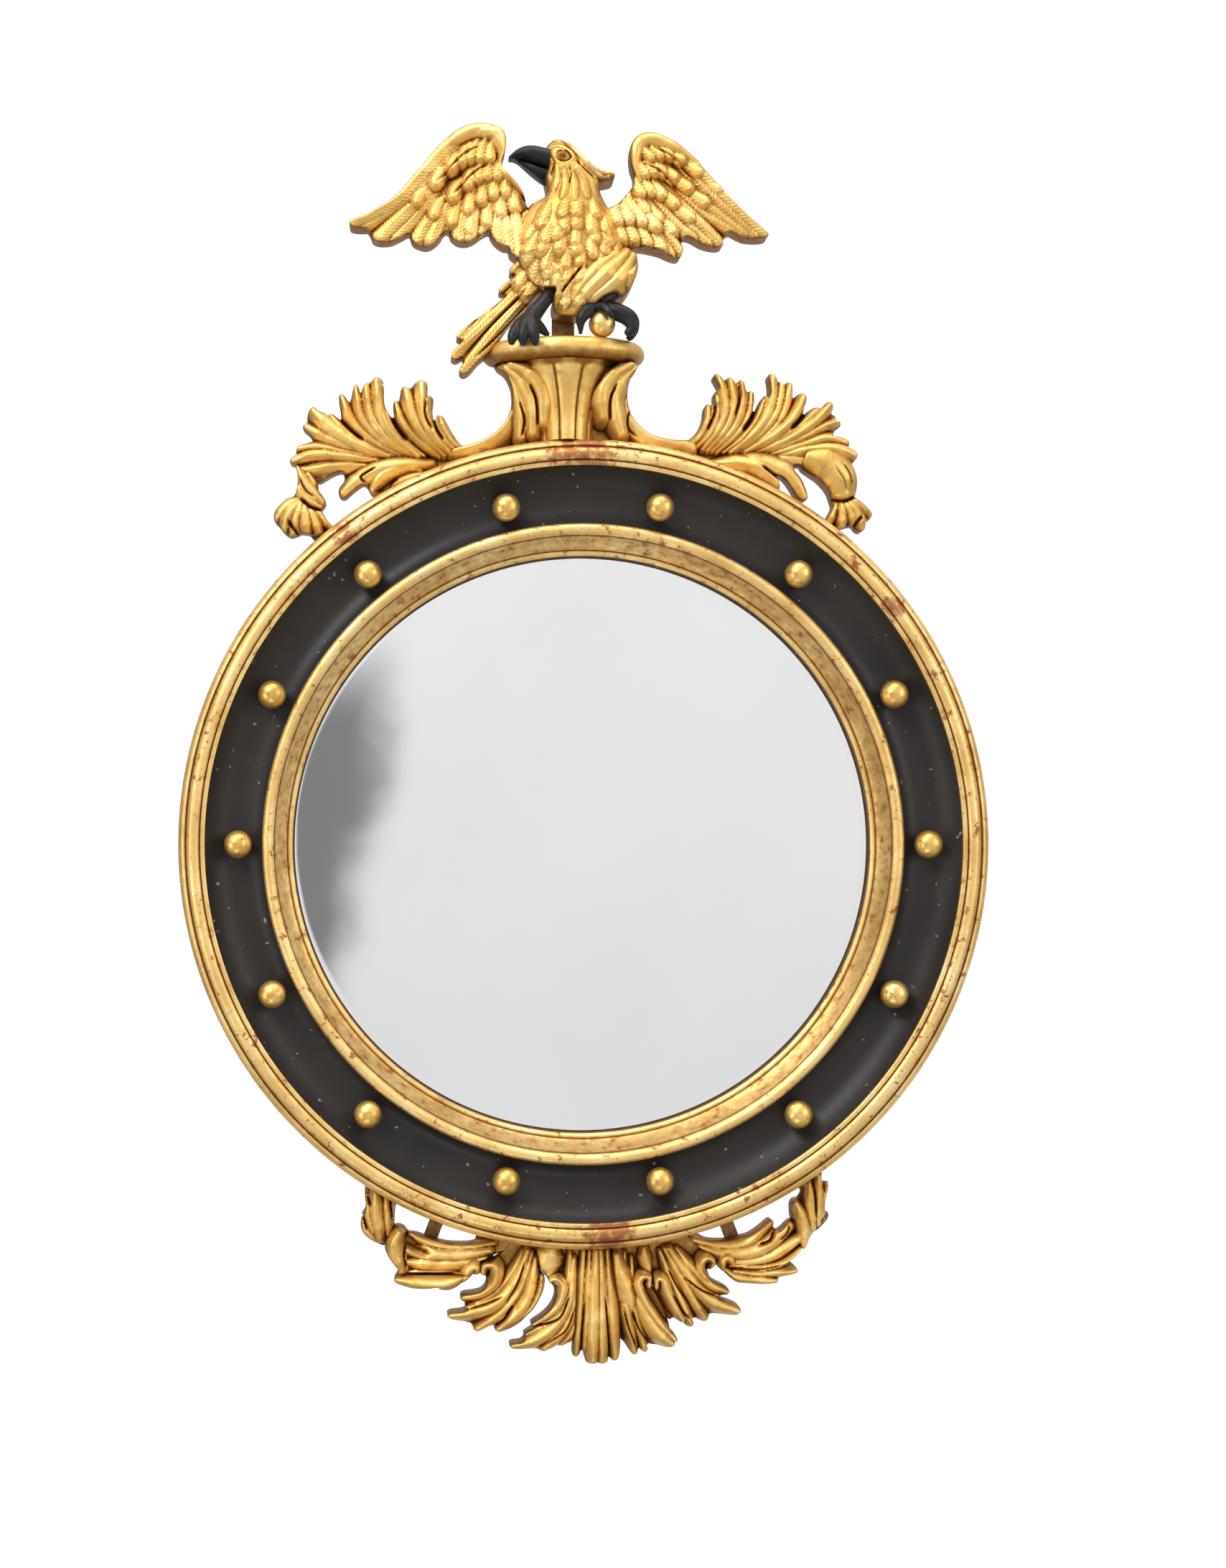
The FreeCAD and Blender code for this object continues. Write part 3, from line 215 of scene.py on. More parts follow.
def old_metal(name, colour, roughness):
    """Dull old iron or steel, slightly stained."""
    material, tree, place = new_material(name)
    stain = noise(tree, place, 320.0, 5.0)
    tint = ramp(tree, stain, (0.3, [c * 0.35 for c in colour]), (0.7, colour))
    surface(tree, tint, spread(tree, stain, roughness - 0.12, roughness + 0.15), metallic=0.9,
            bump=(stain, 0.3, 0.0003))
    return material


def slot_shade_finish(name):
    """Matt near-black painted shade in the slot of a screw."""
    material, tree, place = new_material(name)
    surface(tree, (0.03, 0.026, 0.022, 1), 0.9, bump=(noise(tree, place, 700.0), 0.4, 0.0001))
    return material


ring_wood = softwood("ochre_washed_softwood", (0.48, 0.32, 0.15), (0.30, 0.18, 0.08), 0.4)
board_wood = softwood("back_board_softwood", (0.44, 0.31, 0.18), (0.27, 0.17, 0.09), math.pi / 2)
screw_steel = old_metal("old_screw_steel", (0.42, 0.40, 0.37), 0.45)
iron = old_metal("ochre_toned_iron", (0.44, 0.27, 0.10), 0.6)
slot_shadow = slot_shade_finish("screw_slot_painted_shade")
finish_nodes(ring_wood, "back_ring", "front_ring", "glazing_blocks")
finish_nodes(board_wood, "back_board")


def new_object(name, mesh, body="frame", material=None):
    """Links a finished mesh, gives it its finish, and lets it ride on its body."""
    mesh.name = name
    piece = bpy.data.objects.new(name, mesh)
    scene.collection.objects.link(piece)
    if material is not None:
        mesh.materials.append(material)
    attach(piece, body)
    return piece


def stand_in(name, mesh, solid, material=None, body="frame"):
    """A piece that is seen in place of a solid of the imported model."""
    piece = new_object(name, mesh, body, material)
    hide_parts(solid)


def toned(mesh, levels):
    """Writes how hollow each point lies, which is where the brown toning and the painted shade gather."""
    mesh.attributes.new("hollow", "FLOAT", "POINT").data.foreach_set("value", np.array(levels, np.float32))


def circle(radius, y, count):
    """Corners of a circle about the Y axis."""
    turns = [2 * math.pi * k / count for k in range(count)]
    return [(radius * math.cos(turn), y, radius * math.sin(turn)) for turn in turns]


def skin(rings, toning_and_shade_levels=None, looped=False, smooth=True, sharp=None):
    """A skin through rings of equal corner count, capped at both ends, or looped from last to first.

    Edges steeper than sharp, in degrees, stay hard.
    """
    shape = bmesh.new()
    levels = [[shape.verts.new(corner) for corner in ring] for ring in rings]
    count = len(levels[0])
    for low, high in zip(levels, levels[1:] + (levels[:1] if looped else [])):
        for k in range(count):
            shape.faces.new((low[k], low[(k + 1) % count], high[(k + 1) % count], high[k]))
    if not looped:
        shape.faces.new(levels[0][::-1])
        shape.faces.new(levels[-1])
    bmesh.ops.recalc_face_normals(shape, faces=shape.faces)
    mesh = bpy.data.meshes.new("skin")
    shape.to_mesh(mesh)
    shape.free()
    # Each point's brown toning and painted shade, read by the gilding
    if toning_and_shade_levels is not None:
        toned(mesh, toning_and_shade_levels)
    if smooth:
        mesh.shade_smooth()
    if sharp is not None:
        mesh.set_sharp_from_angle(angle=math.radians(sharp))
    return mesh


def plain_mesh(holder, *helpers):
    """The mesh that an object's modifiers make. The object goes, and so do its helpers."""
    mesh = bpy.data.meshes.new_from_object(holder.evaluated_get(bpy.context.evaluated_depsgraph_get()))
    for done in (holder, *helpers):
        bpy.data.objects.remove(done)
    return mesh


def placed_on_points(name, points, source, material, turn_seed):
    """Geometry Nodes: one copy of a source mesh on each point, turned at random about Y."""
    cloud = bpy.data.meshes.new(name + "_points")
    cloud.from_pydata(points, [], [])
    holder = bpy.data.objects.new(name, cloud)
    scene.collection.objects.link(holder)
    pattern = bpy.data.objects.new(name + "_pattern", source)
    scene.collection.objects.link(pattern)
    tree = bpy.data.node_groups.new(name + "_nodes", "GeometryNodeTree")
    sockets = {socket: tree.interface.new_socket(name=socket, in_out=way, socket_type="NodeSocket" + kind)
               for socket, way, kind in (("Points", "INPUT", "Geometry"), ("Size", "INPUT", "Float"),
                                         ("Turn seed", "INPUT", "Int"), ("Result", "OUTPUT", "Geometry"))}
    start = node(tree, "NodeGroupInput").outputs
    info = node(tree, "GeometryNodeObjectInfo", [("Object", pattern)])
    chance = node(tree, "FunctionNodeRandomValue", [
        ("Min", 0.0), ("Max", 2 * math.pi), ("Seed", start["Turn seed"])], data_type="FLOAT")
    turn = node(tree, "ShaderNodeCombineXYZ", [("Y", next(o for o in chance.outputs if o.enabled))])
    put = node(tree, "GeometryNodeInstanceOnPoints", [
        ("Points", start["Points"]), ("Instance", info.outputs["Geometry"]),
        ("Rotation", turn.outputs[0]), ("Scale", start["Size"])])
    real = node(tree, "GeometryNodeRealizeInstances", [(0, put.outputs[0])])
    finish = node(tree, "GeometryNodeSetMaterial", [("Geometry", real.outputs[0]), ("Material", material)])
    node(tree, "NodeGroupOutput", [(0, finish.outputs[0])])
    modifier = holder.modifiers.new("placing", "NODES")
    modifier.node_group = tree
    modifier[sockets["Size"].identifier] = 1.0
    modifier[sockets["Turn seed"].identifier] = turn_seed
    return plain_mesh(holder, pattern)


def on_circle(radius, depth, *degrees):
    """Points on a circle about the frame's axis, in metres, clockwise from its top."""
    turns = [math.radians(turn) for turn in degrees]
    return [(radius * math.sin(turn), -depth, radius * math.cos(turn)) for turn in turns]


def screws(name, points, radius, height, seed):
    """Slotted countersunk screws at points, heads towards the wall, each with a near-black bar in its face
    that paints the shade of its slot.
    """
    profile = ((0.45 * radius, -height), (radius, -0.15 * height), (radius, 0.0))
    head = skin([circle(r, y, 20) for r, y in profile], smooth=False)
    new_object(name, placed_on_points(name, points, head, screw_steel, seed))
    # A near-black bar just proud of the face stands for the slot and paints its shade
    half_length, half_width = 0.92 * radius, 0.14 * radius
    bar = bpy.data.meshes.new("screw_slot")
    bar.from_pydata([(x, y, z) for y in (0.00004, -0.4 * height) for z in (-half_width, half_width)
                     for x in (-half_length, half_length)],
                    [], [(0, 2, 3, 1), (4, 5, 7, 6), (0, 1, 5, 4), (2, 6, 7, 3), (0, 4, 6, 2), (1, 3, 7, 5)])
    name += "_slots"
    new_object(name, placed_on_points(name, points, bar, slot_shadow, seed))


screws("board_screws", on_circle(0.2609, 0.00006, *np.arange(22.5, 360, 45)), 0.0034, 0.0022, 3)


# ---- Turned hollow, mouldings, slip and glass ----------------------------------------------
# The front is built up from turned rings: an ebonised hollow between two gilded mouldings. A
# dark slip lies on the silvered plate, which is blown convex and shows the room.
def turned_ring(profile, segments=288):
    """A closed ring turned from a profile of (radius, depth, hollowness) in mm; hollowness sets the brown
    toning and painted shade.
    """
    turns = np.arange(segments) * 2 * math.pi / segments
    rings = [[(r / 1000 * math.sin(turn), -d / 1000, r / 1000 * math.cos(turn)) for r, d, _ in profile]
             for turn in turns]
    return skin(rings, [hollow for _, _, hollow in profile] * segments, looped=True, sharp=50)


def arc_profile(first, last, crown, pieces, hollow=0.5, half_turn=50):
    """Points of a moulding's curve between two corners, crowned forward. The crown takes less brown toning
    and painted shade than its ends.
    """
    widest, lowest = math.sin(math.radians(half_turn)), math.cos(math.radians(half_turn))
    points = []
    for i in range(pieces + 1):
        turn = math.radians(half_turn * (2.0 * i / pieces - 1))
        share = (1 + math.sin(turn) / widest) / 2
        height = (math.cos(turn) - lowest) / (1 - lowest)
        points.append((first[0] + (last[0] - first[0]) * share,
                       first[1] + (last[1] - first[1]) * share + crown * height,
                       hollow - 0.12 * height * (crown > 0)))
    return points


def black_finish(name, base, roughness, scuffs):
    """Ebonised satin wood: near black, cloudy sheen, pale scuffs and pin-prick specks."""
    material, tree, place = new_material(name)
    cloud = noise(tree, place, 9.0, 5.0, 0.6)
    dots = ramp(tree, noise(tree, place, 160.0, 2.0), (0.715, grey(0)), (0.74, grey(1)))
    tone = ramp(tree, cloud, (0.3, [c * 0.75 for c in base]), (0.7, [c * 1.35 for c in base]))
    scratched = mix(tree, maths(tree, "MULTIPLY", dots, scuffs), tone, (0.42, 0.39, 0.33))
    surface(tree, scratched, spread(tree, cloud, roughness - 0.08, roughness + 0.12), specular=0.30,
            bump=(noise(tree, place, 420.0, 3.0), 0.12, 0.0004))
    return material


LEAF = ((0.60, 0.345, 0.082), (0.79, 0.50, 0.145), (0.94, 0.69, 0.27))
PALE_LEAF = ((0.69, 0.43, 0.14), (0.85, 0.575, 0.215), (0.96, 0.74, 0.35))


def gilding(name, speckle, rub, leaf=LEAF, burnish=0.36, worn=()):
    """Gold leaf over red bole: burnished high parts, brown toning with painted shade in hollows, rubs and
    specks.
    """
    material, tree, place = new_material(name)
    hollow = node(tree, "ShaderNodeAttribute", attribute_name="hollow").outputs["Fac"]
    middle = noise(tree, place, 120.0, 6.0, 0.65)
    coat = ramp(tree, noise(tree, place, 22.0, 5.0, 0.6), *zip((0.30, 0.5, 0.70), leaf))
    # Brown toning and painted shade lie in the hollows, broken up by the middle noise
    uneven = maths(tree, "MULTIPLY", maths(tree, "SUBTRACT", middle, 0.5), 0.55)
    deep = maths(tree, "ADD", hollow, uneven)
    toning_and_shade_share = ramp(tree, deep, (0.44, grey(0)), (0.62, grey(0.55)), (0.90, grey(1)))
    coat = mix(tree, toning_and_shade_share, coat, (0.27, 0.11, 0.02))
    # Red bole shows where the leaf is rubbed
    coat = mix(tree, ramp(tree, middle, (0.60, grey(0)), (0.72, grey(rub))), coat, (0.42, 0.15, 0.055))
    # Dusting has worn the leaf right through in a few places
    for x, z, reach in worn:
        gap = node(tree, "ShaderNodeVectorMath", [(0, place), (1, (x, -0.055, z))], operation="DISTANCE")
        near = spread(tree, gap.outputs["Value"], 0.24, 0.0, 0.3 * reach, reach)
        bare = ramp(tree, maths(tree, "ADD", middle, near), (0.60, grey(0)), (0.74, grey(0.85)))
        coat = mix(tree, bare, coat, (0.36, 0.12, 0.05))
    dots = ramp(tree, noise(tree, place, 330.0, 3.0), (0.66, grey(0)), (0.72, grey(speckle)))
    height = maths(tree, "ADD", noise(tree, place, 900.0, 3.0), middle)
    surface(tree, mix(tree, dots, coat, (0.13, 0.05, 0.018)), metallic=0.86,
            roughness=spread(tree, middle, burnish, burnish + 0.19, 0.3, 0.7), bump=(height, 0.35, 0.0005))
    return material


def silvered(name):
    """Old silvering: bright, a little grey, with a foxed dark rim just inside the slip."""
    material, tree, place = new_material(name)
    flat = node(tree, "ShaderNodeMapping", [(0, place), ("Scale", (1, 0, 1))]).outputs[0]
    reach = node(tree, "ShaderNodeVectorMath", [(0, flat)], operation="LENGTH").outputs["Value"]
    wander = spread(tree, noise(tree, place, 150.0, 6.0, 0.75), -0.005, 0.005)
    rim = spread(tree, maths(tree, "ADD", reach, wander), 0.0, 0.6, 0.2465, 0.2520)
    tone = ramp(tree, noise(tree, place, 7.0, 4.0), (0.3, (0.885, 0.887, 0.89)), (0.7, (0.925, 0.926, 0.925)))
    surface(tree, mix(tree, rim, tone, (0.16, 0.13, 0.10)), spread(tree, rim, 0.06, 0.5), metallic=1.0)
    return material


def convex_plate(rim_radius, dome_radius, rim_depth, dome, thickness):
    """The blown plate in mm: a dome within a flat rim, front and back."""
    ball = (dome_radius ** 2 + dome ** 2) / (2 * dome)
    front = [(r, rim_depth + math.sqrt(ball ** 2 - r ** 2) - (ball - dome))
             for r in np.linspace(0.001, dome_radius, 48)]
    front.append((rim_radius, rim_depth))
    behind = [(r, d - thickness) for r, d in reversed(front)]
    mesh = skin([circle(r / 1000, -d / 1000, 192) for r, d in front + behind])
    shape = bmesh.new()
    shape.from_mesh(mesh)
    # The innermost circle on each side closes to a point
    bmesh.ops.remove_doubles(shape, verts=shape.verts, dist=2e-5)
    shape.to_mesh(mesh)
    shape.free()
    mesh.set_sharp_from_angle(angle=math.radians(30))
    return mesh


ebonised = black_finish("ebonised_hollow", (0.019, 0.0155, 0.014), 0.42, 0.5)
slip_black = black_finish("dark_painted_slip", (0.06, 0.04, 0.022), 0.5, 0.7)
# Bare places on the outer moulding: x, z and reach
WORN = ((0.0, 0.331, 0.045), (0.018, -0.331, 0.035), (-0.20, 0.262, 0.02), (0.262, 0.20, 0.016))
ring_gold = gilding("gilded_mouldings", 0.8, 0.6, PALE_LEAF, worn=WORN)
finish_nodes(slip_black, "glass_slip")

COVE = [(272.4, 28.0, 0.5), *arc_profile((272.4, 40.0), (320.0, 49.5), -13.0, 24), (320.0, 28.0, 0.5)]
# The third number of each point sets its brown toning and painted shade, most in the quirks, least on the
# crowns
OUTER = [
    (320.3, 28.0, 0.6), (336.3, 28.0, 0.6), (336.3, 20.0, 0.6), (339.0, 20.0, 0.6), (343.0, 27.0, 0.55),
    *arc_profile((343.0, 46.6), (337.4, 52.0), 1.5, 6, 0.5, 40),
    (336.9, 50.8, 0.75), (336.2, 50.4, 0.85), (335.9, 51.2, 0.7),
    *arc_profile((335.8, 52.2), (325.1, 54.2), 3.1, 12, 0.5, 60),
    (325.0, 53.0, 0.75), (324.6, 52.6, 0.85), (324.2, 53.4, 0.7), (323.8, 54.0, 0.5), (321.2, 54.0, 0.42),
    (320.3, 53.4, 0.42)]
SIGHT = [
    (258.0, 28.0, 0.6), (272.1, 28.0, 0.6), (272.1, 45.0, 0.45),
    *arc_profile((272.1, 45.0), (262.6, 45.0), 3.4, 12, 0.5, 58)[1:],
    (262.3, 44.0, 0.8), (261.9, 43.4, 0.9), (261.5, 43.5, 0.7),
    *arc_profile((261.2, 43.2), (252.4, 26.0), -1.8, 12, 0.56)[1:],
    (252.1, 24.8, 0.8), (251.6, 24.2, 0.9), (251.2, 24.4, 0.7),
    *arc_profile((251.0, 24.4), (247.4, 22.2), 1.0, 6, 0.5, 55),
    (247.3, 21.1, 0.9), (258.0, 21.1, 0.9)]
stand_in("hollow_ring", turned_ring(COVE), "cove_ring", ebonised)
stand_in("outer_gilt_moulding", turned_ring(OUTER), "outer_moulding", ring_gold)
stand_in("sight_gilt_moulding", turned_ring(SIGHT), "sight_moulding", ring_gold)
stand_in("convex_mirror_plate", convex_plate(253.0, 246.5, 17.0, 30.0, 4.0), "mirror_glass",
         silvered("old_silvering"))


# ---- Balls in the hollow --------------------------------------------------------------------
# Gilded turned balls, just under an inch across, each on a spigot in the black hollow. They
# repeat round the ring, so one ball is placed by nodes on fourteen points.
def turned_ball(radius, spigot, stem):
    """A ball on a short stem behind it, along +Y, with the toning and painted shade of each point."""
    profile = [(radius * math.sin(turn), -radius * math.cos(turn)) for turn in np.linspace(0.02, 2.9, 40)]
    profile += [(spigot, radius), (spigot, radius + stem)]
    count = 48
    # The back half of the ball is darkened with painted shade and toning
    toning_and_shade_levels = [0.42 + 0.5 * max(0.0, y / radius) ** 2 for _, y in profile for _ in range(count)]
    return skin([circle(r, y, count) for r, y in profile], toning_and_shade_levels)


ball_gold = gilding("gilded_balls", 0.9, 0.45, burnish=0.24)
BALLS = 14
ball_places = on_circle(0.2926, 0.0454, *[360 * (k + 0.5) / BALLS for k in range(BALLS)])
one_ball = turned_ball(0.0118, 0.0029, 0.0049)
stand_in("gilt_balls", placed_on_points("gilt_balls", ball_places, one_ball, ball_gold, 11), "cove_balls")


# ---- Hangers ----------------------------------------------------------------------------------
# Two brass plates lie in recesses in the rear ring, each with a knuckle in which a D-shaped
# wire ring turns. Two screws hold each plate.
def dull_brass(name):
    """Unpolished brass with brown tarnish."""
    material, tree, place = new_material(name)
    tarnish = noise(tree, place, 160.0, 6.0)
    colour = ramp(tree, tarnish, (0.35, (0.62, 0.43, 0.15)), (0.6, (0.45, 0.29, 0.10)),
                  (0.8, (0.16, 0.10, 0.05)))
    surface(tree, colour, spread(tree, tarnish, 0.28, 0.6), metallic=1.0, bump=(tarnish, 0.2, 0.0002))
    return material


def wire_ring(turn, half=0.013, arm=0.006, corner=0.003, wire=0.0015, lean=11.5):
    """The D-shaped ring on its pivot, turned about the frame's axis from the top."""
    arcs = ((half - corner, corner, corner, range(-90, 1, 15)), (0, arm, half, range(0, 181, 6)),
            (corner - half, corner, corner, range(180, 271, 15)))
    path = [Vector((x + r * math.cos(math.radians(a)), 0, z + r * math.sin(math.radians(a))))
            for x, z, r, bend in arcs for a in bend]
    # The straight bar closes the path through the knuckle
    path += [Vector(((half - corner) * (2 * s / 6 - 1), 0, 0)) for s in range(1, 6)]
    rings = []
    for i, spot in enumerate(path):
        way = (path[(i + 1) % len(path)] - path[i - 1]).normalized()
        out = Vector((way.z, 0, -way.x))
        rings.append([spot + out * x + Vector((0, z, 0)) for x, _, z in circle(wire, 0, 16)])
    mesh = skin(rings, looped=True)
    mesh.transform(Matrix.Rotation(math.radians(turn), 4, "Y") @ Matrix.Translation((0, -0.0034, 0.310))
                   @ Matrix.Rotation(math.radians(lean), 4, "X"))
    return mesh


brass = dull_brass("tarnished_brass")
for side_name, turn in (("left", -42.0), ("right", 42.0)):
    finish_nodes(brass, "hanger_plate_" + side_name)
    stand_in("wire_ring_" + side_name, wire_ring(turn), "hanger_ring_" + side_name, brass,
             side_name + "_hanging_ring")
    spots = [*on_circle(0.277, 0.0047, turn), *on_circle(0.299, 0.0047, turn)]
    screws("hanger_screws_" + side_name, spots, 0.0032, 0.0016, 5)


# ---- Iron straps ------------------------------------------------------------------------------
# Flat iron straps run from the back of the front layer to the flat backs of the carvings, and
# carry them. Small screws hold each strap at both ends.
finish_nodes(iron, "crest_straps", "apron_straps")
STRAP_TURNS = (-40.3, -23.0, 22.5, 38.2, 178.0, 187.0, 193.0, 201.0, 209.8, 171.8, 166.5, 159.0, 146.0)
strap_spots = [spot for turn in STRAP_TURNS for radius in (0.327, 0.361)
               for spot in on_circle(radius, 0.0171, turn)]
screws("strap_screws", strap_spots, 0.0024, 0.0012, 8)


# ---- Carved leaves beside the plinth -----------------------------------------------------------
# Limewood carved in relief with a flat back. The outline is sawn first, then the gouge cuts
# rounded flutes along the leaf that meet in sharp valleys, and deep slits between the lobes.

# In mm: where the frame's edge ends a carving, the grid's step, the thinnest wood, and a height below any
FRAME_EDGE = 343.3
PITCH = 0.7
LOWEST = 5.0
EMPTY = -50.0
# Shares of a stroke's height or width, each at a share of the way along it
RISING = ((0.0, 0.55), (0.25, 0.82), (0.6, 1.0), (0.85, 1.0), (1.0, 0.86))
FULL = ((0.0, 0.9), (0.3, 1.0), (0.8, 0.98), (1.0, 0.85))
NARROWING = ((0.0, 0.60), (0.30, 1.0), (0.75, 1.0), (1.0, 0.72))


def smooth_line(points, fine=6, closed=False):
    """Points of a smooth curve through a line of corners."""
    p = np.array(points, float)
    q = np.concatenate([p[-1:], p, p[:2]] if closed else [2 * p[:1] - p[1:2], p, 2 * p[-1:] - p[-2:-1]])
    t = np.arange(fine)[:, None] / fine
    runs = [b + 0.5 * t * (c - a + t * (2 * a - 5 * b + 4 * c - d) + t ** 2 * (3 * b - a - 3 * c + d))
            for a, b, c, d in zip(q, q[1:], q[2:], q[3:])]
    return np.concatenate(runs if closed else runs + [p[-1:]])


def ridge(width, rise, *points, **how):
    """A flute of the leaf in mm: its width, its height over the back, and the line it follows.

    rises and widths are shares along the line. valley is the fall to its edges, and power how late it falls.
    flutes and vein are the depths of gouge marks and of a middle groove, barbs and quill the heights of a
    feather's. tilt lifts one edge, and base is a surface that the flute lies on.
    """
    usual = dict(rises=RISING, widths=NARROWING, valley=5.5, power=2.0, flutes=0.35, vein=0.0, tilt=0.0,
                 barbs=0.0, quill=0.0, base=None)
    return dict(width=width, rise=rise, line=smooth_line(points), **{**usual, **how})


def full_ridge(width, rise, *points, **how):
    """A flute that keeps its height nearly to its ends."""
    return ridge(width, rise, *points, rises=FULL, **how)


def cut(width, depth, *points):
    """A narrow cut with a sharp bottom along a line."""
    return dict(width=width, depth=depth, line=smooth_line(points))


class Grid:
    """Places in mm over a carving, PITCH apart."""

    def __init__(self, outline):
        low, high = outline.min(axis=0) - 9, outline.max(axis=0) + 9
        self.xs, self.zs = np.arange(low[0], high[0], PITCH), np.arange(low[1], high[1], PITCH)
        self.X, self.Z = np.meshgrid(self.xs, self.zs)

    def patch(self, line, reach):
        """The part that lies within reach of a line, as (rows, columns)."""
        low, high = line.min(axis=0) - reach, line.max(axis=0) + reach
        return tuple(slice(max(int((low[axis] - places[0]) / PITCH), 0),
                           max(int((high[axis] - places[0]) / PITCH) + 2, 0))
                     for axis, places in ((1, self.zs), (0, self.xs)))


def to_segment(X, Z, start, end):
    """Distance to a straight piece of line, share of the way along it, and side of it."""
    (ax, az), (dx, dz) = start, end - start
    px, pz = X - ax, Z - az
    share = np.clip((px * dx + pz * dz) / max(dx * dx + dz * dz, 1e-9), 0, 1)
    return np.hypot(px - share * dx, pz - share * dz), share, np.sign(dx * pz - dz * px)


def line_distance(X, Z, line):
    """Distance to a line, share of the way along it, side of it, and its length."""
    steps = np.hypot(*np.diff(line, axis=0).T)
    starts = np.concatenate([[0], np.cumsum(steps)]) / steps.sum()
    best = np.full(X.shape, np.inf)
    along, side = np.zeros(X.shape), np.zeros(X.shape)
    for i in range(len(steps)):
        gap, share, turn = to_segment(X, Z, line[i], line[i + 1])
        near = gap < best
        best = np.where(near, gap, best)
        along = np.where(near, starts[i] + share * (starts[i + 1] - starts[i]), along)
        side = np.where(near, turn, side)
    return best, along, side, steps.sum()


def sawn_distance(grid, corners, reach=5.0):
    """Signed distance to a smooth closed outline, positive inside, cut off at a reach."""
    loop = smooth_line(corners, 4, closed=True)
    gap, inside = np.full(grid.X.shape, reach), np.zeros(grid.X.shape, bool)
    for start, end in zip(loop, np.roll(loop, -1, axis=0)):
        patch = grid.patch(np.array([start, end]), reach)
        gap[patch] = np.minimum(gap[patch], to_segment(grid.X[patch], grid.Z[patch], start, end)[0])
        (ax, az), (dx, dz) = start, end - start
        crossed = (grid.zs > min(az, end[1])) & (grid.zs <= max(az, end[1]))
        inside[crossed] ^= grid.X[crossed] < (ax + (grid.zs[crossed] - az) * dx / (dz or 1))[:, None]
    return np.where(inside, gap, -gap)


def lay_stroke(stroke, X, Z):
    """Height and inside distance of one flute over a patch of the grid."""
    gap, along, side, length = line_distance(X, Z, stroke["line"])
    half = stroke["width"] / 2 * np.interp(along, *zip(*stroke["widths"]))
    s = side * gap / half
    height = np.interp(along, *zip(*stroke["rises"])) * stroke["rise"]
    height = height - stroke["valley"] * np.abs(s) ** stroke["power"]
    ends = np.clip(along / 0.12, 0, 1) * np.clip((1 - along) / 0.10, 0, 1)
    height -= stroke["vein"] * ends * np.exp(-(gap / 0.9) ** 2)
    height -= stroke["flutes"] * ends * (0.5 - 0.5 * np.cos(2 * math.pi * s))
    height += stroke["tilt"] * np.clip(s, -1, 1)
    comb = np.sin(2 * math.pi * (along * length + 1.1 * gap) / 3.6)
    height += stroke["barbs"] * comb * np.clip(4 * np.abs(s) * (1.02 - np.abs(s)), 0, 1)
    height += stroke["quill"] * np.exp(-(gap / 0.8) ** 2) * np.clip((1 - along) / 0.2, 0, 1)
    if stroke["base"] is not None:
        height = np.where(half - gap > -PITCH, height + stroke["base"](X, Z), EMPTY)
    return height


def heights(grid, strokes, cuts, base):
    """Heights over the back: the base, the highest stroke at each place, and the cuts into them."""
    H = base(grid.X, grid.Z) if base is not None else np.full(grid.X.shape, LOWEST)
    for stroke in strokes:
        patch = grid.patch(stroke["line"], stroke["width"])
        H[patch] = np.maximum(H[patch], lay_stroke(stroke, grid.X[patch], grid.Z[patch]))
    for groove in cuts:
        patch = grid.patch(groove["line"], groove["width"])
        gap, along, _, _ = line_distance(grid.X[patch], grid.Z[patch], groove["line"])
        taper = np.clip(4 * np.minimum(along + 0.08, 1.08 - along), 0, 1)
        H[patch] -= groove["depth"] * taper * np.clip(1 - 2 * gap / groove["width"], 0, 1)
    return np.maximum(H, LOWEST)


def tremor(shape, seed, spacing=8):
    """Unevenness of hand work: chance values every few steps of the grid, blended between."""
    rough = np.random.default_rng(seed).normal(size=(shape[0] // spacing + 3, shape[1] // spacing + 3))
    k, i = np.arange(shape[0]) / spacing, np.arange(shape[1]) / spacing
    k0, i0, kf, jf = k.astype(int), i.astype(int), (k % 1)[:, None], (i % 1)[None, :]
    return (rough[k0][:, i0] * (1 - kf) * (1 - jf) + rough[k0 + 1][:, i0] * kf * (1 - jf)
            + rough[k0][:, i0 + 1] * (1 - kf) * jf + rough[k0 + 1][:, i0 + 1] * kf * jf)


def blurred(values, weights, reach):
    """Mean over a square window, counting only the weighted places."""
    def box(a):
        for axis in (0, 1):
            pad = [(reach + 1, reach) if k == axis else (0, 0) for k in (0, 1)]
            total = np.cumsum(np.pad(a, pad, mode="edge"), axis=axis)
            count = a.shape[axis]
            upper = np.take(total, np.arange(count) + 2 * reach + 1, axis=axis)
            lower = np.take(total, np.arange(count), axis=axis)
            a = (upper - lower) / (2 * reach + 1)
        return a
    weights = weights.astype(float)
    return box(values * weights) / np.maximum(box(weights), 1e-6)


def toning_and_painted_shade(grid, H, inside, back, stains):
    """How hollow each place lies, which sets its brown toning and painted shade: below its near and far
    neighbours, near the back, or in a stain.
    """
    near, far = (blurred(H, inside, int(reach / PITCH)) for reach in (1.5, 6.0))
    # Places below their neighbours and places low near the back darken: part toning, part painted shade
    tone = 0.44 + (near - H) * 0.26 + (far - H) * 0.05 + np.clip((17 - H + back) / 17, 0, 1) * 0.35
    tone = np.clip(tone, 0, 1.3)
    for x, z, radius, amount in stains:
        tone = np.maximum(tone, amount * np.clip(2 * (1 - np.hypot(grid.X - x, grid.Z - z) / radius), 0, 1))
    return tone


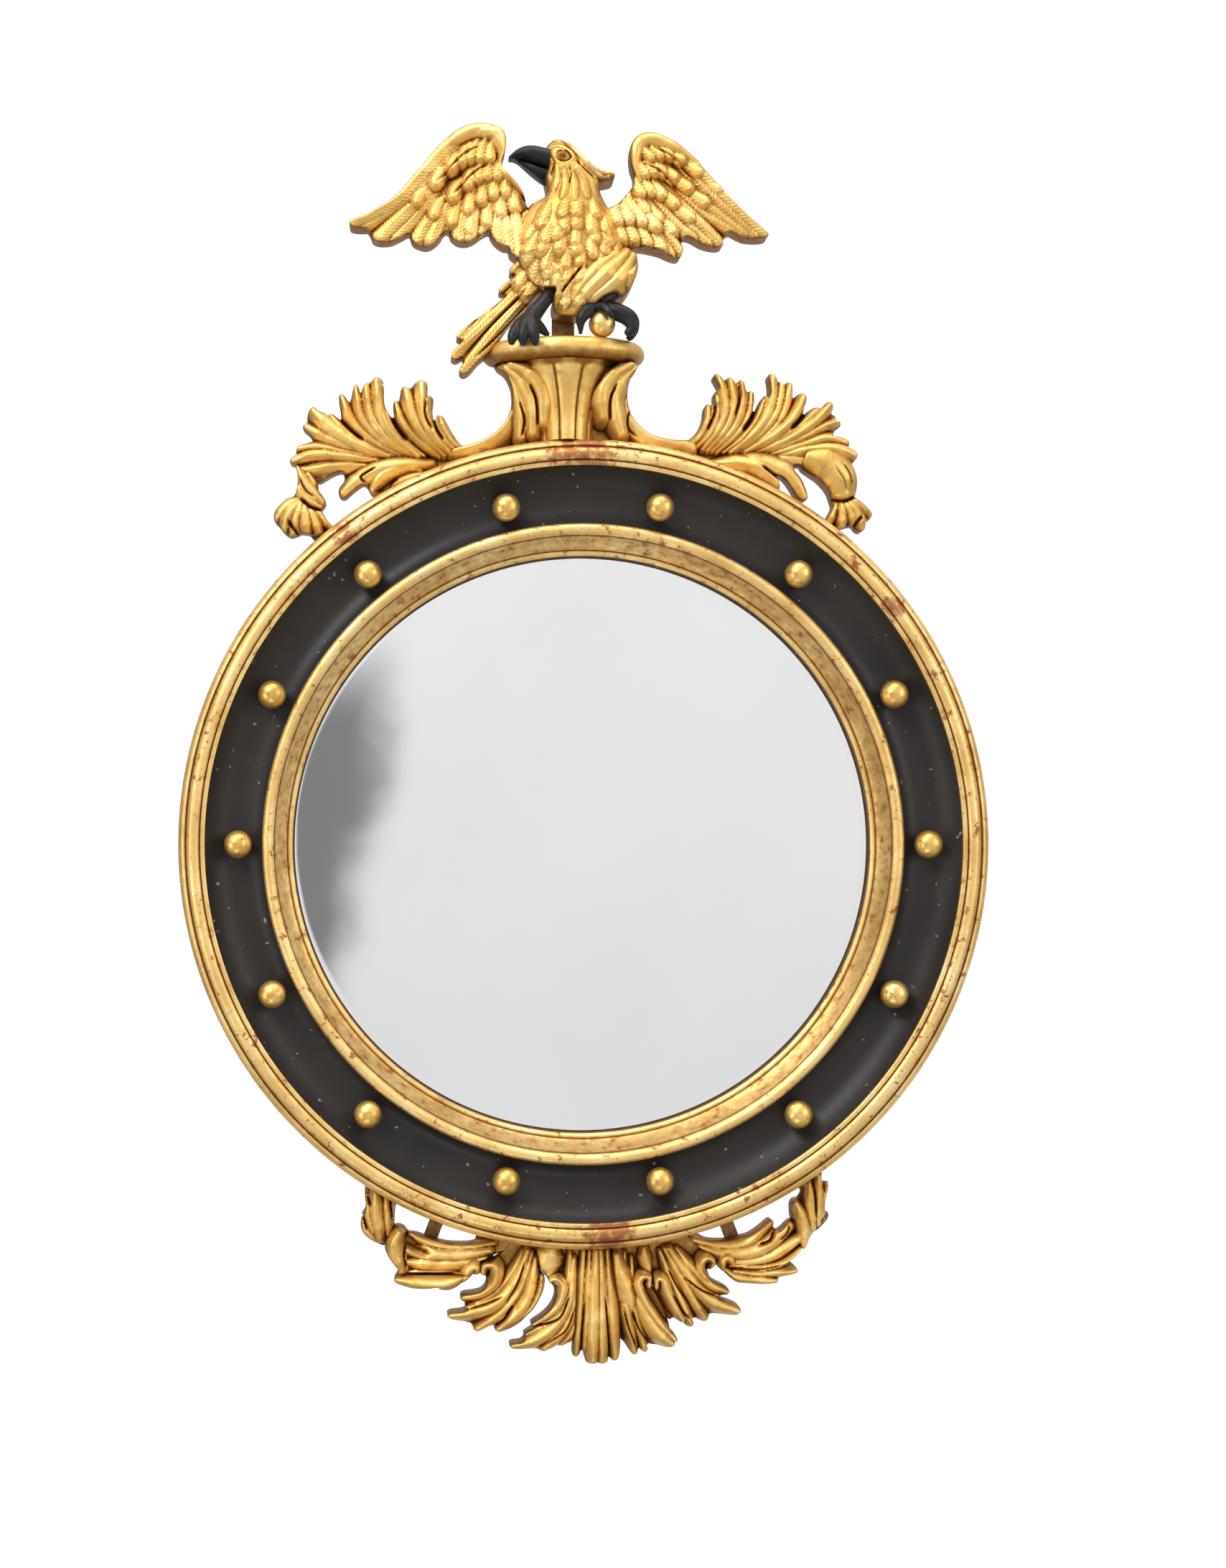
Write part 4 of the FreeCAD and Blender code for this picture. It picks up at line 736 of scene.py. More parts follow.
def slab(grid, F, H, tone, back):
    """The mesh: heights in front, flat behind, its rim drawn to where the sawn distance F is zero."""
    inside = F > 0
    grad_z, grad_x = np.gradient(F, PITCH)
    steep = np.maximum(np.hypot(grad_x, grad_z), 0.5)
    shift = np.where(inside, 0, np.clip(-F, 0, 1.5 * PITCH)) / steep
    VX, VZ = grid.X + shift * grad_x / steep, grid.Z + shift * grad_z / steep
    cell = inside[:-1, :-1] | inside[1:, :-1] | inside[:-1, 1:] | inside[1:, 1:]
    used = np.zeros(F.shape, bool)
    for rows in (slice(None, -1), slice(1, None)):
        for columns in (slice(None, -1), slice(1, None)):
            used[rows, columns] |= cell
    count = int(used.sum())
    number = -np.ones(F.shape, int)
    number[used] = np.arange(count)
    k, i = np.nonzero(cell)
    quads = np.stack([number[k, i], number[k, i + 1], number[k + 1, i + 1], number[k + 1, i]], 1)
    edges = np.concatenate([quads[:, [j, (j + 1) % 4]] for j in range(4)])
    key = edges.min(axis=1) * count + edges.max(axis=1)
    _, first, times = np.unique(key, return_index=True, return_counts=True)
    rim = edges[first[times == 1]]
    wall = np.stack([rim[:, 1], rim[:, 0], rim[:, 0] + count, rim[:, 1] + count], 1)
    faces = np.concatenate([quads, quads[:, ::-1] + count, wall])
    front = np.stack([VX[used], -H[used], VZ[used]], 1)
    behind = np.stack([VX[used], np.full(count, -back), VZ[used]], 1)
    mesh = bpy.data.meshes.new("slab")
    mesh.vertices.add(2 * count)
    mesh.vertices.foreach_set("co", (np.concatenate([front, behind]) / 1000).astype(np.float32).ravel())
    mesh.loops.add(len(faces) * 4)
    mesh.loops.foreach_set("vertex_index", faces.astype(np.int32).ravel())
    mesh.polygons.add(len(faces))
    mesh.polygons.foreach_set("loop_start", (np.arange(len(faces)) * 4).astype(np.int32))
    mesh.update(calc_edges=True)
    mesh.validate()
    # Each point's brown toning and painted shade; the flat back gets painted shade too
    toned(mesh, np.concatenate([tone[used], np.full(count, 0.9)]))
    mesh.shade_smooth()
    mesh.set_sharp_from_angle(angle=math.radians(62))
    return mesh


def drawn_out(points, grow):
    """The outlines were drawn as seen past the leaf tips. Their true places lie a little farther out."""
    x, z = np.array(points, float).T
    # The apron's middle tip keeps to its length
    return np.column_stack([-148 + (x + 148) * grow, np.maximum(z * grow, -440.6)])


def relief(outline, strokes, cuts, seed, back=20.0, keep=None, base=None, wander=0.22, round_over=2.0,
           stains=(), grow=1.011):
    """A carved mesh: sawn to its outline, clear of the frame, fluted in front and flat behind.

    back is the depth of its back over the wall, keep a limit to its sawn distance, base what its strokes lie
    on, wander the unevenness, round_over the radius of its edge, and grow the scale of its outline.
    """
    outline = drawn_out(outline, grow)
    strokes, cuts = ([dict(mark, line=drawn_out(mark["line"], grow)) for mark in marks]
                     for marks in (strokes, cuts))
    grid = Grid(outline)
    F = np.minimum(sawn_distance(grid, outline), np.hypot(grid.X, grid.Z) - FRAME_EDGE)
    if keep is not None:
        F = np.minimum(F, keep(grid.X, grid.Z))
    rim = np.clip(F, 0, round_over)
    H = heights(grid, strokes, cuts, base) - (round_over - np.sqrt(round_over ** 2 - (round_over - rim) ** 2))
    H = H + back + wander * tremor(H.shape, seed)
    return slab(grid, F, H, toning_and_painted_shade(grid, H, F > 0, back, stains), back)


leaf_gold = gilding("gilded_carving", 0.35, 0.3)


def carved(name, solid, outline, strokes, cuts, material=leaf_gold, finish_slot="gilt_wood", **how):
    """A carved piece that stands for its solid."""
    stand_in(name, relief(outline, strokes, cuts, **how), solid, material)


def under_cap(X, Z):
    """Keeps the leaves beside the plinth below its cap."""
    return 408.4 - Z


carved("plinth_left_scroll_leaf", "plinth_leaf_left", [
    (-76, 410), (-74, 401), (-68, 396), (-64, 390), (-61.5, 382), (-61, 372), (-63, 363), (-68, 354),
    (-76, 346), (-86, 340), (-97, 336.5), (-106, 335), (-112, 332), (-108, 322), (-80, 325), (-50, 333),
    (-24, 336), (-22, 350), (-23, 364), (-24, 374), (-27, 382), (-33, 392), (-42, 400), (-50, 404),
    (-56, 412)], [
    full_ridge(17, 33, (-62, 402), (-46, 394), (-36, 379), (-35, 356), valley=7, vein=0.4),
    full_ridge(14, 30, (-67, 400), (-53, 388), (-45, 371), (-44, 346), valley=6),
    full_ridge(13, 26, (-70, 399), (-59, 384), (-53, 366), (-54, 343), valley=5),
    full_ridge(16, 19, (-72, 399), (-62, 382), (-61, 365), (-71, 349), (-88, 338), (-110, 331), valley=4)],
    [cut(3, 6, (-46, 384), (-41, 371), (-40, 351)), cut(3, 5, (-55, 372), (-51, 356), (-53, 342))],
    keep=under_cap, seed=2, back=20.5)
carved("plinth_right_scroll_leaf", "plinth_leaf_right", [
    (46, 410), (44, 400), (39, 393), (36.5, 384), (36.5, 372), (40, 361), (46, 353), (55, 346), (66, 342),
    (78, 340.5), (92, 341), (96, 334), (90, 326), (50, 333), (20, 336), (0, 336), (-2, 352), (2, 366),
    (6, 378), (12, 387), (18, 395), (27, 402), (36, 412)], [
    full_ridge(16, 33, (38, 402), (23, 393), (14, 378), (16, 359), valley=7, vein=0.4),
    full_ridge(15, 29, (42, 399), (30, 388), (24, 371), (31, 345), valley=6),
    full_ridge(16, 19, (46, 398), (36, 384), (34, 368), (43, 352), (60, 341), (90, 334), valley=4)],
    [cut(3, 6, (26, 385), (21, 372), (21, 356)), cut(2.5, 4, (38, 366), (36, 352), (44, 343))],
    keep=under_cap, seed=3, back=20.5)


# ---- Plinth bell and cap ------------------------------------------------------------------------
# A turned and reeded half bell with a thick rounded cap, on which the eagle stands. Both are
# skins through rings, from the bottom up.
def metres(x, depth, z):
    """A place in mm, with its depth over the wall, as a place in the frame."""
    return (x / 1000, -depth / 1000, z / 1000)


def reeded_bell(bottom=342.5, top=408.6, reeds=5, crown=2.4, fine=14, levels=44):
    """Half rings with round reeds on them, which end in round heads just under the cap."""
    rings, toning_and_shade_levels = [], []
    for i in range(levels + 1):
        share = i / levels
        flare = share ** 2.4
        half, ahead = 21 + 23 * flare, 30 + 14 * flare
        head = min(max((share - 0.90) / 0.06, 0.0), 1.0)
        ring = []
        for k in range(reeds * fine + 1):
            turn = math.pi * k / (reeds * fine)
            place = 2 * (k % fine) / fine - 1
            out = crown * math.sqrt(max(0.0, 1 - place ** 2)) * (1 - head * (0.35 + 0.65 * abs(place)))
            ring.append(metres(-13.5 - (half + out) * math.cos(turn), 20 + (ahead + out) * math.sin(turn),
                               bottom + (top - bottom) * share))
            # Toning and painted shade darken the grooves between the reeds and the heads under the cap
            toning_and_shade_levels.append(0.42 + 0.7 * (1 - out / crown) ** 3 + 0.25 * head)
        rings.append(ring)
    return skin(rings, toning_and_shade_levels, sharp=55)


def rounded_cap(half_width=69.5, depth=52.0, middle=417.8, steps=10, sides=72):
    """Half ovals with a rounded edge, undercut a little below."""
    rings, toning_and_shade_levels = [], []
    ways = [math.pi * k / sides for k in range(sides + 1)]
    for i in range(2 * steps + 1):
        turn = math.pi * i / (2 * steps) - math.pi / 2
        below = max(0.0, -math.sin(turn))
        inset = 8.0 * (1 - math.cos(turn)) + 2.5 * below ** 2
        wide, deep, level = half_width - inset, depth - inset, middle + 9.0 * math.sin(turn)
        rings.append([metres(-15.5 - wide * math.cos(way), 20 + deep * math.sin(way), level) for way in ways])
        # The underside of the cap is darkened with painted shade
        toning_and_shade_levels += [0.42 + 0.5 * below] * len(ways)
    return skin(rings, toning_and_shade_levels, sharp=55)


stand_in("reeded_bell", reeded_bell(), "plinth_bell", leaf_gold)
stand_in("plinth_top", rounded_cap(), "plinth_cap", leaf_gold)


# ---- Acanthus sprays of the crest -----------------------------------------------------------------
# Each side of the crest is one carved spray. Its stem hugs the frame and opens into fluted lobes
# with blunt, nicked tips. A small leaf curls down beside the frame, and a separate drooping
# cluster hangs from the spray's outer end.
carved("left_spray", "crest_leaf_left", [
    (-97, 336), (-104, 338), (-109, 344), (-114, 352), (-118, 360), (-122, 361.5), (-125.5, 359),
    (-126.5, 355), (-128, 364), (-127, 374), (-129, 377), (-132, 376.5), (-133, 374), (-132, 381),
    (-132.5, 388), (-136, 390.5), (-142, 389.5), (-147, 385), (-149, 383.5), (-151, 385.5), (-154, 384),
    (-155.5, 377), (-157, 374), (-160, 373.5), (-161, 368), (-160, 361), (-162, 359.5), (-165, 362),
    (-168, 368), (-169, 378), (-169, 388), (-171, 392), (-175, 393.2), (-180, 389.5), (-184, 388),
    (-187, 383), (-188.5, 379), (-189.5, 383), (-191, 387), (-193, 387.5), (-195, 382), (-196.5, 376),
    (-198.5, 373.5), (-201, 376.5), (-204, 380), (-206.5, 379), (-206.5, 372), (-205, 363), (-205.5, 358.5),
    (-209, 360.5), (-213, 363), (-216, 361), (-219, 363), (-224, 364.5), (-227, 367.5), (-230, 367),
    (-233, 362), (-234.5, 355), (-237, 352), (-236, 349), (-231.5, 345), (-229, 340.5), (-233, 338.5),
    (-239, 337), (-242, 333), (-243.5, 329), (-247, 325), (-247.5, 321), (-243, 319), (-240, 316),
    (-237, 311), (-230, 306.5), (-223, 305), (-218, 307.5), (-212, 311), (-205.5, 313.5), (-202.5, 312),
    (-202.5, 306), (-206, 302), (-207, 296), (-205, 292), (-201, 291.5), (-197, 295), (-191, 300),
    (-186, 303), (-182.5, 301), (-180, 296), (-176, 293), (-168, 290), (-130, 300), (-97, 322)], [
    ridge(9, 19, (-100, 332), (-110, 338), (-117, 348), (-121.5, 359)),
    ridge(9, 22, (-106, 330), (-118, 341), (-126, 356), (-129.5, 374)),
    ridge(13, 27, (-112, 329), (-127, 344), (-135, 364), (-137, 386)),
    ridge(11, 25, (-118, 328), (-136, 345), (-146, 364), (-150.5, 382)),
    ridge(9, 22, (-122, 327), (-142, 342), (-154, 357), (-159, 371)),
    ridge(6, 24, (-135, 328), (-153, 341), (-164, 357), (-168, 372), (-169, 386), valley=4),
    ridge(12, 27, (-140, 328), (-160, 343), (-172, 362), (-175, 389)),
    ridge(11, 25, (-145, 328), (-168, 343), (-180, 362), (-184, 385)),
    ridge(10, 23, (-150, 328), (-174, 343), (-188, 361), (-192.5, 384)),
    ridge(10, 22, (-155, 328), (-180, 341), (-197, 358), (-204, 376)),
    ridge(9, 22, (-160, 328), (-185, 336), (-203, 349), (-213, 360)),
    ridge(13, 27, (-165, 328), (-192, 336), (-214, 350), (-228, 364)),
    ridge(11, 24, (-170, 327), (-198, 334), (-218, 342), (-234, 351)),
    ridge(9, 24, (-172, 326), (-203, 330), (-225, 334), (-240, 333)),
    ridge(10, 27, (-174, 324), (-205, 326), (-228, 327), (-245, 322)),
    ridge(12, 25, (-180, 320), (-210, 318), (-228, 315), (-238, 315)),
    ridge(9, 19, (-190, 316), (-212, 313), (-226, 308)),
    ridge(12, 22, (-128, 322), (-150, 320), (-172, 316), (-190, 307), (-203, 296), valley=4),
    ridge(12, 21, (-138, 316), (-155, 317), (-170, 311), (-179, 298)),
    ridge(9, 17, (-130, 314), (-148, 309), (-160, 304))],
    [cut(5, 13, (-163, 360), (-158, 351), (-150, 341)), cut(4, 10, (-205, 357), (-196, 348), (-187, 341)),
     cut(3, 7, (-127, 356), (-124, 348), (-119, 341)), cut(4, 8, (-158, 308), (-166, 303), (-176, 297)),
     cut(3, 5, (-134, 373), (-134, 360), (-128, 348)), cut(3, 6, (-176, 317), (-188, 309), (-184, 304))],
    seed=4)
carved("right_spray", "crest_leaf_right", [
    (75, 341), (85, 341.5), (92, 344.5), (97, 351), (100, 359), (101, 367), (103.5, 371), (107, 370),
    (109, 370), (109, 379), (112, 381.5), (113, 384), (110.5, 389), (108.5, 393), (110.5, 396), (114, 394),
    (118, 391.5), (122, 393), (126, 390), (129, 389), (132, 391.5), (135, 388), (136.5, 382), (140, 382),
    (143, 380), (143, 373), (141.5, 366), (144.5, 366), (148.5, 374), (151.5, 377), (154, 374.5),
    (155.5, 378), (155.5, 386), (154.5, 393), (156.5, 396.5), (160, 394), (164, 391), (167, 387),
    (168.5, 386), (170.5, 389.5), (174, 389), (175.5, 383), (175.5, 377), (179, 378.5), (183, 380.5),
    (186, 378), (187, 373), (184.5, 367), (185, 363), (188, 364.5), (193, 368), (197, 368), (199.5, 367),
    (203, 371), (207, 372.5), (209.5, 369), (209.5, 364.5), (213, 363), (213, 359.5), (211, 356),
    (215, 356), (217, 353.5), (213, 350), (209.5, 345), (209, 342.5), (214, 342.5), (219, 342), (223, 339),
    (223.5, 335), (228, 332), (229.5, 327), (227, 322), (222, 318), (205, 313), (192, 313), (183, 318),
    (177.5, 318.5), (177, 314.5), (182, 308), (186.5, 299), (188, 293), (187, 290), (184, 289.5),
    (180, 291), (177, 295), (172, 303), (167, 308.5), (162.5, 310.5), (163.5, 306), (164.5, 299),
    (158, 292), (120, 305), (75, 325)], [
    ridge(9, 19, (86, 336), (96, 342), (103, 355), (105, 369)),
    ridge(9, 23, (94, 334), (106, 346), (111, 361), (111.5, 379)),
    ridge(10, 26, (100, 333), (113, 349), (118, 368), (112.5, 393)),
    ridge(10, 25, (104, 332), (119, 350), (125, 369), (123, 390)),
    ridge(10, 24, (108, 332), (125, 349), (132, 368), (132, 388)),
    ridge(9, 22, (112, 331), (130, 347), (138, 362), (140.5, 379)),
    ridge(6, 24, (118, 331), (133, 342), (144, 357), (151, 374), valley=4),
    ridge(11, 27, (124, 331), (143, 346), (155, 365), (158, 392)),
    ridge(10, 25, (128, 331), (148, 345), (161, 363), (166, 386)),
    ridge(9, 24, (132, 331), (153, 344), (166, 360), (173, 386)),
    ridge(10, 27, (136, 331), (158, 343), (174, 357), (184, 376)),
    ridge(10, 23, (140, 331), (163, 341), (181, 352), (196, 365)),
    ridge(10, 26, (146, 331), (172, 341), (192, 354), (206, 369)),
    ridge(9, 24, (152, 330), (180, 340), (199, 350), (213, 356)),
    ridge(10, 25, (158, 329), (184, 336), (203, 341), (220, 338)),
    ridge(11, 27, (165, 328), (190, 332), (210, 332), (227, 327)),
    ridge(14, 22, (120, 325), (145, 323), (163, 317), (177, 306), (185, 293), valley=4),
    ridge(13, 22, (110, 322), (132, 321), (149, 316), (163, 304), valley=4),
    ridge(14, 20, (150, 324), (175, 325), (200, 321), (220, 322))],
    [cut(5, 13, (144, 366), (140, 357), (134, 349)), cut(5, 12, (185, 363), (180, 356), (174, 350)),
     cut(3, 7, (110, 371), (109, 361), (104, 350)), cut(4, 9, (150, 318), (158, 312), (164, 308)),
     cut(3, 5, (130, 389), (130, 374), (126, 360)), cut(3, 6, (141, 309), (150, 304), (160, 299))], seed=5)
carved("left_drop", "crest_drop_left", [
    (-242, 318), (-241, 309), (-241.5, 300), (-244, 294), (-251, 291), (-257, 285.5), (-261.5, 279),
    (-261, 272.5), (-257, 268), (-252, 262), (-247, 259), (-241.5, 260.5), (-238, 262), (-230, 261),
    (-222, 260.5), (-215, 258), (-208, 264), (-213, 269), (-216, 272), (-219, 277), (-221, 281.5),
    (-219, 284.5), (-217.5, 288), (-220, 292.5), (-224, 298), (-224.5, 304), (-228, 309), (-234, 314)], [
    full_ridge(11, 27, (-242, 318), (-237, 306), (-229, 296), (-220, 288)),
    full_ridge(10, 24, (-233, 316), (-230, 307), (-226, 300)),
    full_ridge(11, 24, (-243, 306), (-239, 297), (-230, 288), (-223, 284)),
    full_ridge(11, 21, (-241, 291), (-251, 284), (-259, 275)),
    full_ridge(10, 24, (-240, 289), (-249, 277), (-253, 266)),
    full_ridge(10, 24, (-238, 288), (-243, 273), (-245, 262)),
    full_ridge(11, 25, (-235, 286), (-235, 272), (-233, 263)),
    full_ridge(10, 23, (-231, 285), (-227, 272), (-223, 263)),
    full_ridge(9, 21, (-227, 284), (-220, 275), (-213, 267))],
    [cut(4, 8, (-238, 290), (-231, 284), (-222, 281)), cut(4, 9, (-249, 272), (-245, 266), (-240, 260)),
     cut(2.5, 4, (-240, 308), (-234, 297), (-226, 291))], seed=6, back=20.5)
carved("right_drop", "crest_drop_right", [
    (188, 331), (200, 333), (212, 331), (222, 326), (226, 317), (229, 308), (230, 300), (228.5, 292),
    (233, 288), (239, 282.5), (242.5, 279), (241, 274), (238, 272), (237, 267), (233, 263), (229, 264.5),
    (226, 268), (220, 267), (214, 265), (208, 261), (202, 270), (205.5, 277), (209, 284), (208, 289),
    (206, 295), (202, 301), (196, 307), (190, 311), (183, 317), (184, 325)], [
    full_ridge(36, 30, (186, 325), (202, 320), (213, 309), (217, 295), valley=13, flutes=0.0),
    full_ridge(10, 22, (222, 291), (233, 284), (240, 278)),
    full_ridge(10, 25, (221, 290), (230, 276), (233, 266)),
    full_ridge(9, 24, (218, 289), (224, 277), (226, 270)),
    full_ridge(9, 24, (215, 289), (217, 277), (216, 267)),
    full_ridge(9, 22, (212, 288), (209, 280), (206, 271))],
    [cut(4, 8, (205, 292), (212, 289), (220, 289), (229, 294)),
     cut(4, 8, (233, 276), (229, 271), (226, 266)), cut(2.5, 3, (216, 320), (222, 310), (224, 300)),
     cut(2, 2, (209, 316), (216, 306), (219, 297))], seed=7, back=20.5)


# ---- Eagle ------------------------------------------------------------------------------------------
# The bird is carved with a flat back and full front: body and head in one, wings and tail pegged
# on, feathers cut in overlapping rows. Beak and feet are ebonised.

# Levels of the trunk in mm: height, middle, half width, depth over the wall and half depth
TRUNK = [
    (443, -16, 12, 44, 8), (450, -8, 20, 45, 12), (460, 3, 32, 45, 16), (470, -2, 44, 44, 19),
    (480, -4, 48, 43, 21), (490, -7, 50, 42, 23), (500, -11, 49, 42, 25), (510, -11, 46, 42, 25),
    (520, -12, 43, 42, 25), (530, -13, 39, 42, 24), (540, -12, 33, 43, 22), (550, -9, 25, 43, 20),
    (560, -10, 25, 44, 17), (570, -12, 22, 45, 16), (580, -17, 18, 45, 15), (588, -20, 12, 45, 11),
    (594, -21, 6, 45, 5)]
QUILL_RISE = ((0.0, 0.8), (0.5, 1.0), (1.0, 1.08))
BLUNT = ((0.0, 0.7), (0.3, 1.0), (0.85, 1.0), (1.0, 0.9))
LEVEL = ((0, 1), (1, 1))


def breast(X, Z):
    """Height of the bird's trunk over its back, mm."""
    z, *columns = np.array(TRUNK, float).T
    middle, half, depth, ahead = (np.interp(Z, z, column) for column in columns)
    s = np.clip((X - middle) / half, -1, 1)
    return depth + ahead * np.sqrt(1 - s * s) - 20.0


def feather(width, rise, *points, **how):
    """A feather: blunt tip, raised quill, barbs, and one edge lifted over its neighbour."""
    usual = dict(rises=QUILL_RISE, widths=BLUNT, valley=2.2, power=3.0, flutes=0.0, barbs=0.3, quill=0.7,
                 tilt=1.3)
    return ridge(width, rise, *points, **{**usual, **how})


def small_feathers():
    """Overlapping small feathers down the breast, fanning out from the throat."""
    strokes = []
    rng = np.random.default_rng(12)
    for row in range(8):
        z = 548 - row * 10.2
        wide = 21 + 4.4 * row
        count = int(wide / 5.6)
        for col in range(count + 1):
            x = -11 - 0.7 * row + (col - count / 2 + 0.5 * (row % 2)) * 2 * wide / (count + 1)
            turn = math.radians(-97 + 0.95 * (x + 10) + rng.normal(0, 5))
            size = 21 + 5 * rng.random()
            tip = (x + size * math.cos(turn), z + size * math.sin(turn))
            strokes.append(feather(11.5 + 2 * rng.random(), 1.0, (x, z), tip, base=breast, quill=0.5,
                                   rises=((0, -3.0), (0.5, 0.8), (1, 4.4)), valley=3.2, power=2.4, tilt=0.5))
    return strokes


def feather_row(line, count, first_turn, last_turn, size, width, rise):
    """A row of short covering feathers along a line, their turn in degrees changing evenly."""
    path = smooth_line(line, 12)
    strokes = []
    for k in range(count):
        share = k / (count - 1)
        x, z = path[int(round(share * (len(path) - 1)))]
        turn = math.radians(first_turn + (last_turn - first_turn) * share)
        # Each feather bends a little on its way
        line = [(x + reach * math.cos(way), z + reach * math.sin(way))
                for reach, way in ((0, turn), (0.5 * size, turn), (size, turn + 0.12))]
        strokes.append(feather(width, rise, *line, valley=3.4, power=2.4, tilt=0.5,
                               rises=((0, 0.80), (0.6, 0.98), (1, 1.08))))
    return strokes


def muscle(width, rise, *points, valley=1.5):
    """A smooth stroke that follows the trunk's own round."""
    return ridge(width, rise, *points, rises=LEVEL, flutes=0.0, valley=valley, base=breast, power=3.0)


eagle_outline = [
    (-32, 584), (-31, 588.5), (-27, 592), (-20, 592.4), (-13, 590), (-7, 584), (-2, 577), (4, 570.5),
    (10, 567), (17, 564), (22, 565), (25.5, 562), (23, 559), (17, 557.5), (12, 556), (12.5, 551),
    (14.5, 545), (17, 540), (20, 536.5), (24, 533), (30, 528), (36, 515), (38, 500), (42, 494), (44, 487),
    (43, 478), (40, 470), (35, 462), (31, 458.5), (25, 461), (15, 457), (6, 450), (-3, 445), (-10, 443),
    (-20, 444), (-26, 448), (-27, 456), (-25, 464), (-33, 466), (-44, 470), (-52, 482), (-57, 493),
    (-58, 503), (-56, 514), (-52, 525), (-48, 535), (-43, 541), (-37, 541.5), (-33, 544), (-31.5, 549),
    (-32, 556), (-33, 561), (-31, 566), (-30, 575)]
neck = [
    muscle(7, 1.5, (-24, 566), (-24, 556), (-29, 545)), muscle(7, 1.8, (-18, 562), (-17, 552), (-20, 540)),
    muscle(7, 1.8, (-12, 562), (-9, 551), (-9, 538)), muscle(7, 1.8, (-7, 565), (-1, 554), (2, 541)),
    muscle(7, 1.8, (-3, 568), (5, 557), (9, 545)), muscle(6, 1.6, (-1, 571), (7, 561), (12, 552))]
head = [
    muscle(26, 1.2, (-24, 581), (-18, 570), valley=3),
    ridge(6, 43, (-15, 588), (-4, 576), (8, 565.5), (24, 562.5), rises=((0, 0.86), (0.5, 1), (1, 0.8)),
          valley=5),
    ridge(5, 42, (-10, 583), (-1, 571), (12, 561), (20, 560), rises=((0, 0.9), (0.5, 1), (1, 0.8)),
          valley=4), muscle(4, 2.6, (-30, 583), (-22, 585), (-13, 580), (-8, 573), valley=2)]
THIGH = ((0.0, 0.86), (0.4, 1.0), (0.8, 0.9), (1.0, 0.72))
legs = [ridge(width, rise, *line, rises=THIGH, valley=3) for width, rise, *line in (
    (11, 51, (40, 492), (30, 476), (14, 462), (-4, 450)),
    (11, 53, (34, 494), (20, 479), (4, 464), (-9, 450)),
    (10, 51, (26, 495), (10, 481), (-2, 468), (-14, 452)), (12, 48, (42, 484), (36, 471), (32, 462)),
    (9, 46, (-8, 486), (-14, 470), (-20, 450)), (9, 49, (-20, 484), (-24, 470), (-24, 452)),
    (11, 49, (-30, 488), (-22, 478), (-15, 466)))]
carved("eagle_trunk", "eagle_body", eagle_outline, small_feathers() + neck + head + legs + [
    ridge(7, 44.6, (-21, 576.6), (-17.4, 575.8), rises=((0, 1), (1, 1)), valley=2.5, flutes=0.0)],
    [cut(2.4, 2.6, (-25, 576), (-22, 580), (-16, 579.5), (-12.5, 575), (-16, 571.5), (-22, 572.5),
         (-25, 576)), cut(2.2, 2.4, (-30, 578), (-26, 570), (-29, 560)),
     cut(2.5, 3, (-10, 577), (-3, 567), (8, 558)), cut(2, 2, (-14, 568), (-12, 560), (-14, 552)),
     cut(3, 5, (-2, 484), (-12, 472), (-20, 462))],
    base=breast, seed=8, wander=0.1, stains=[(-18.3, 579.6, 3.8, 1.3)], grow=1.006)
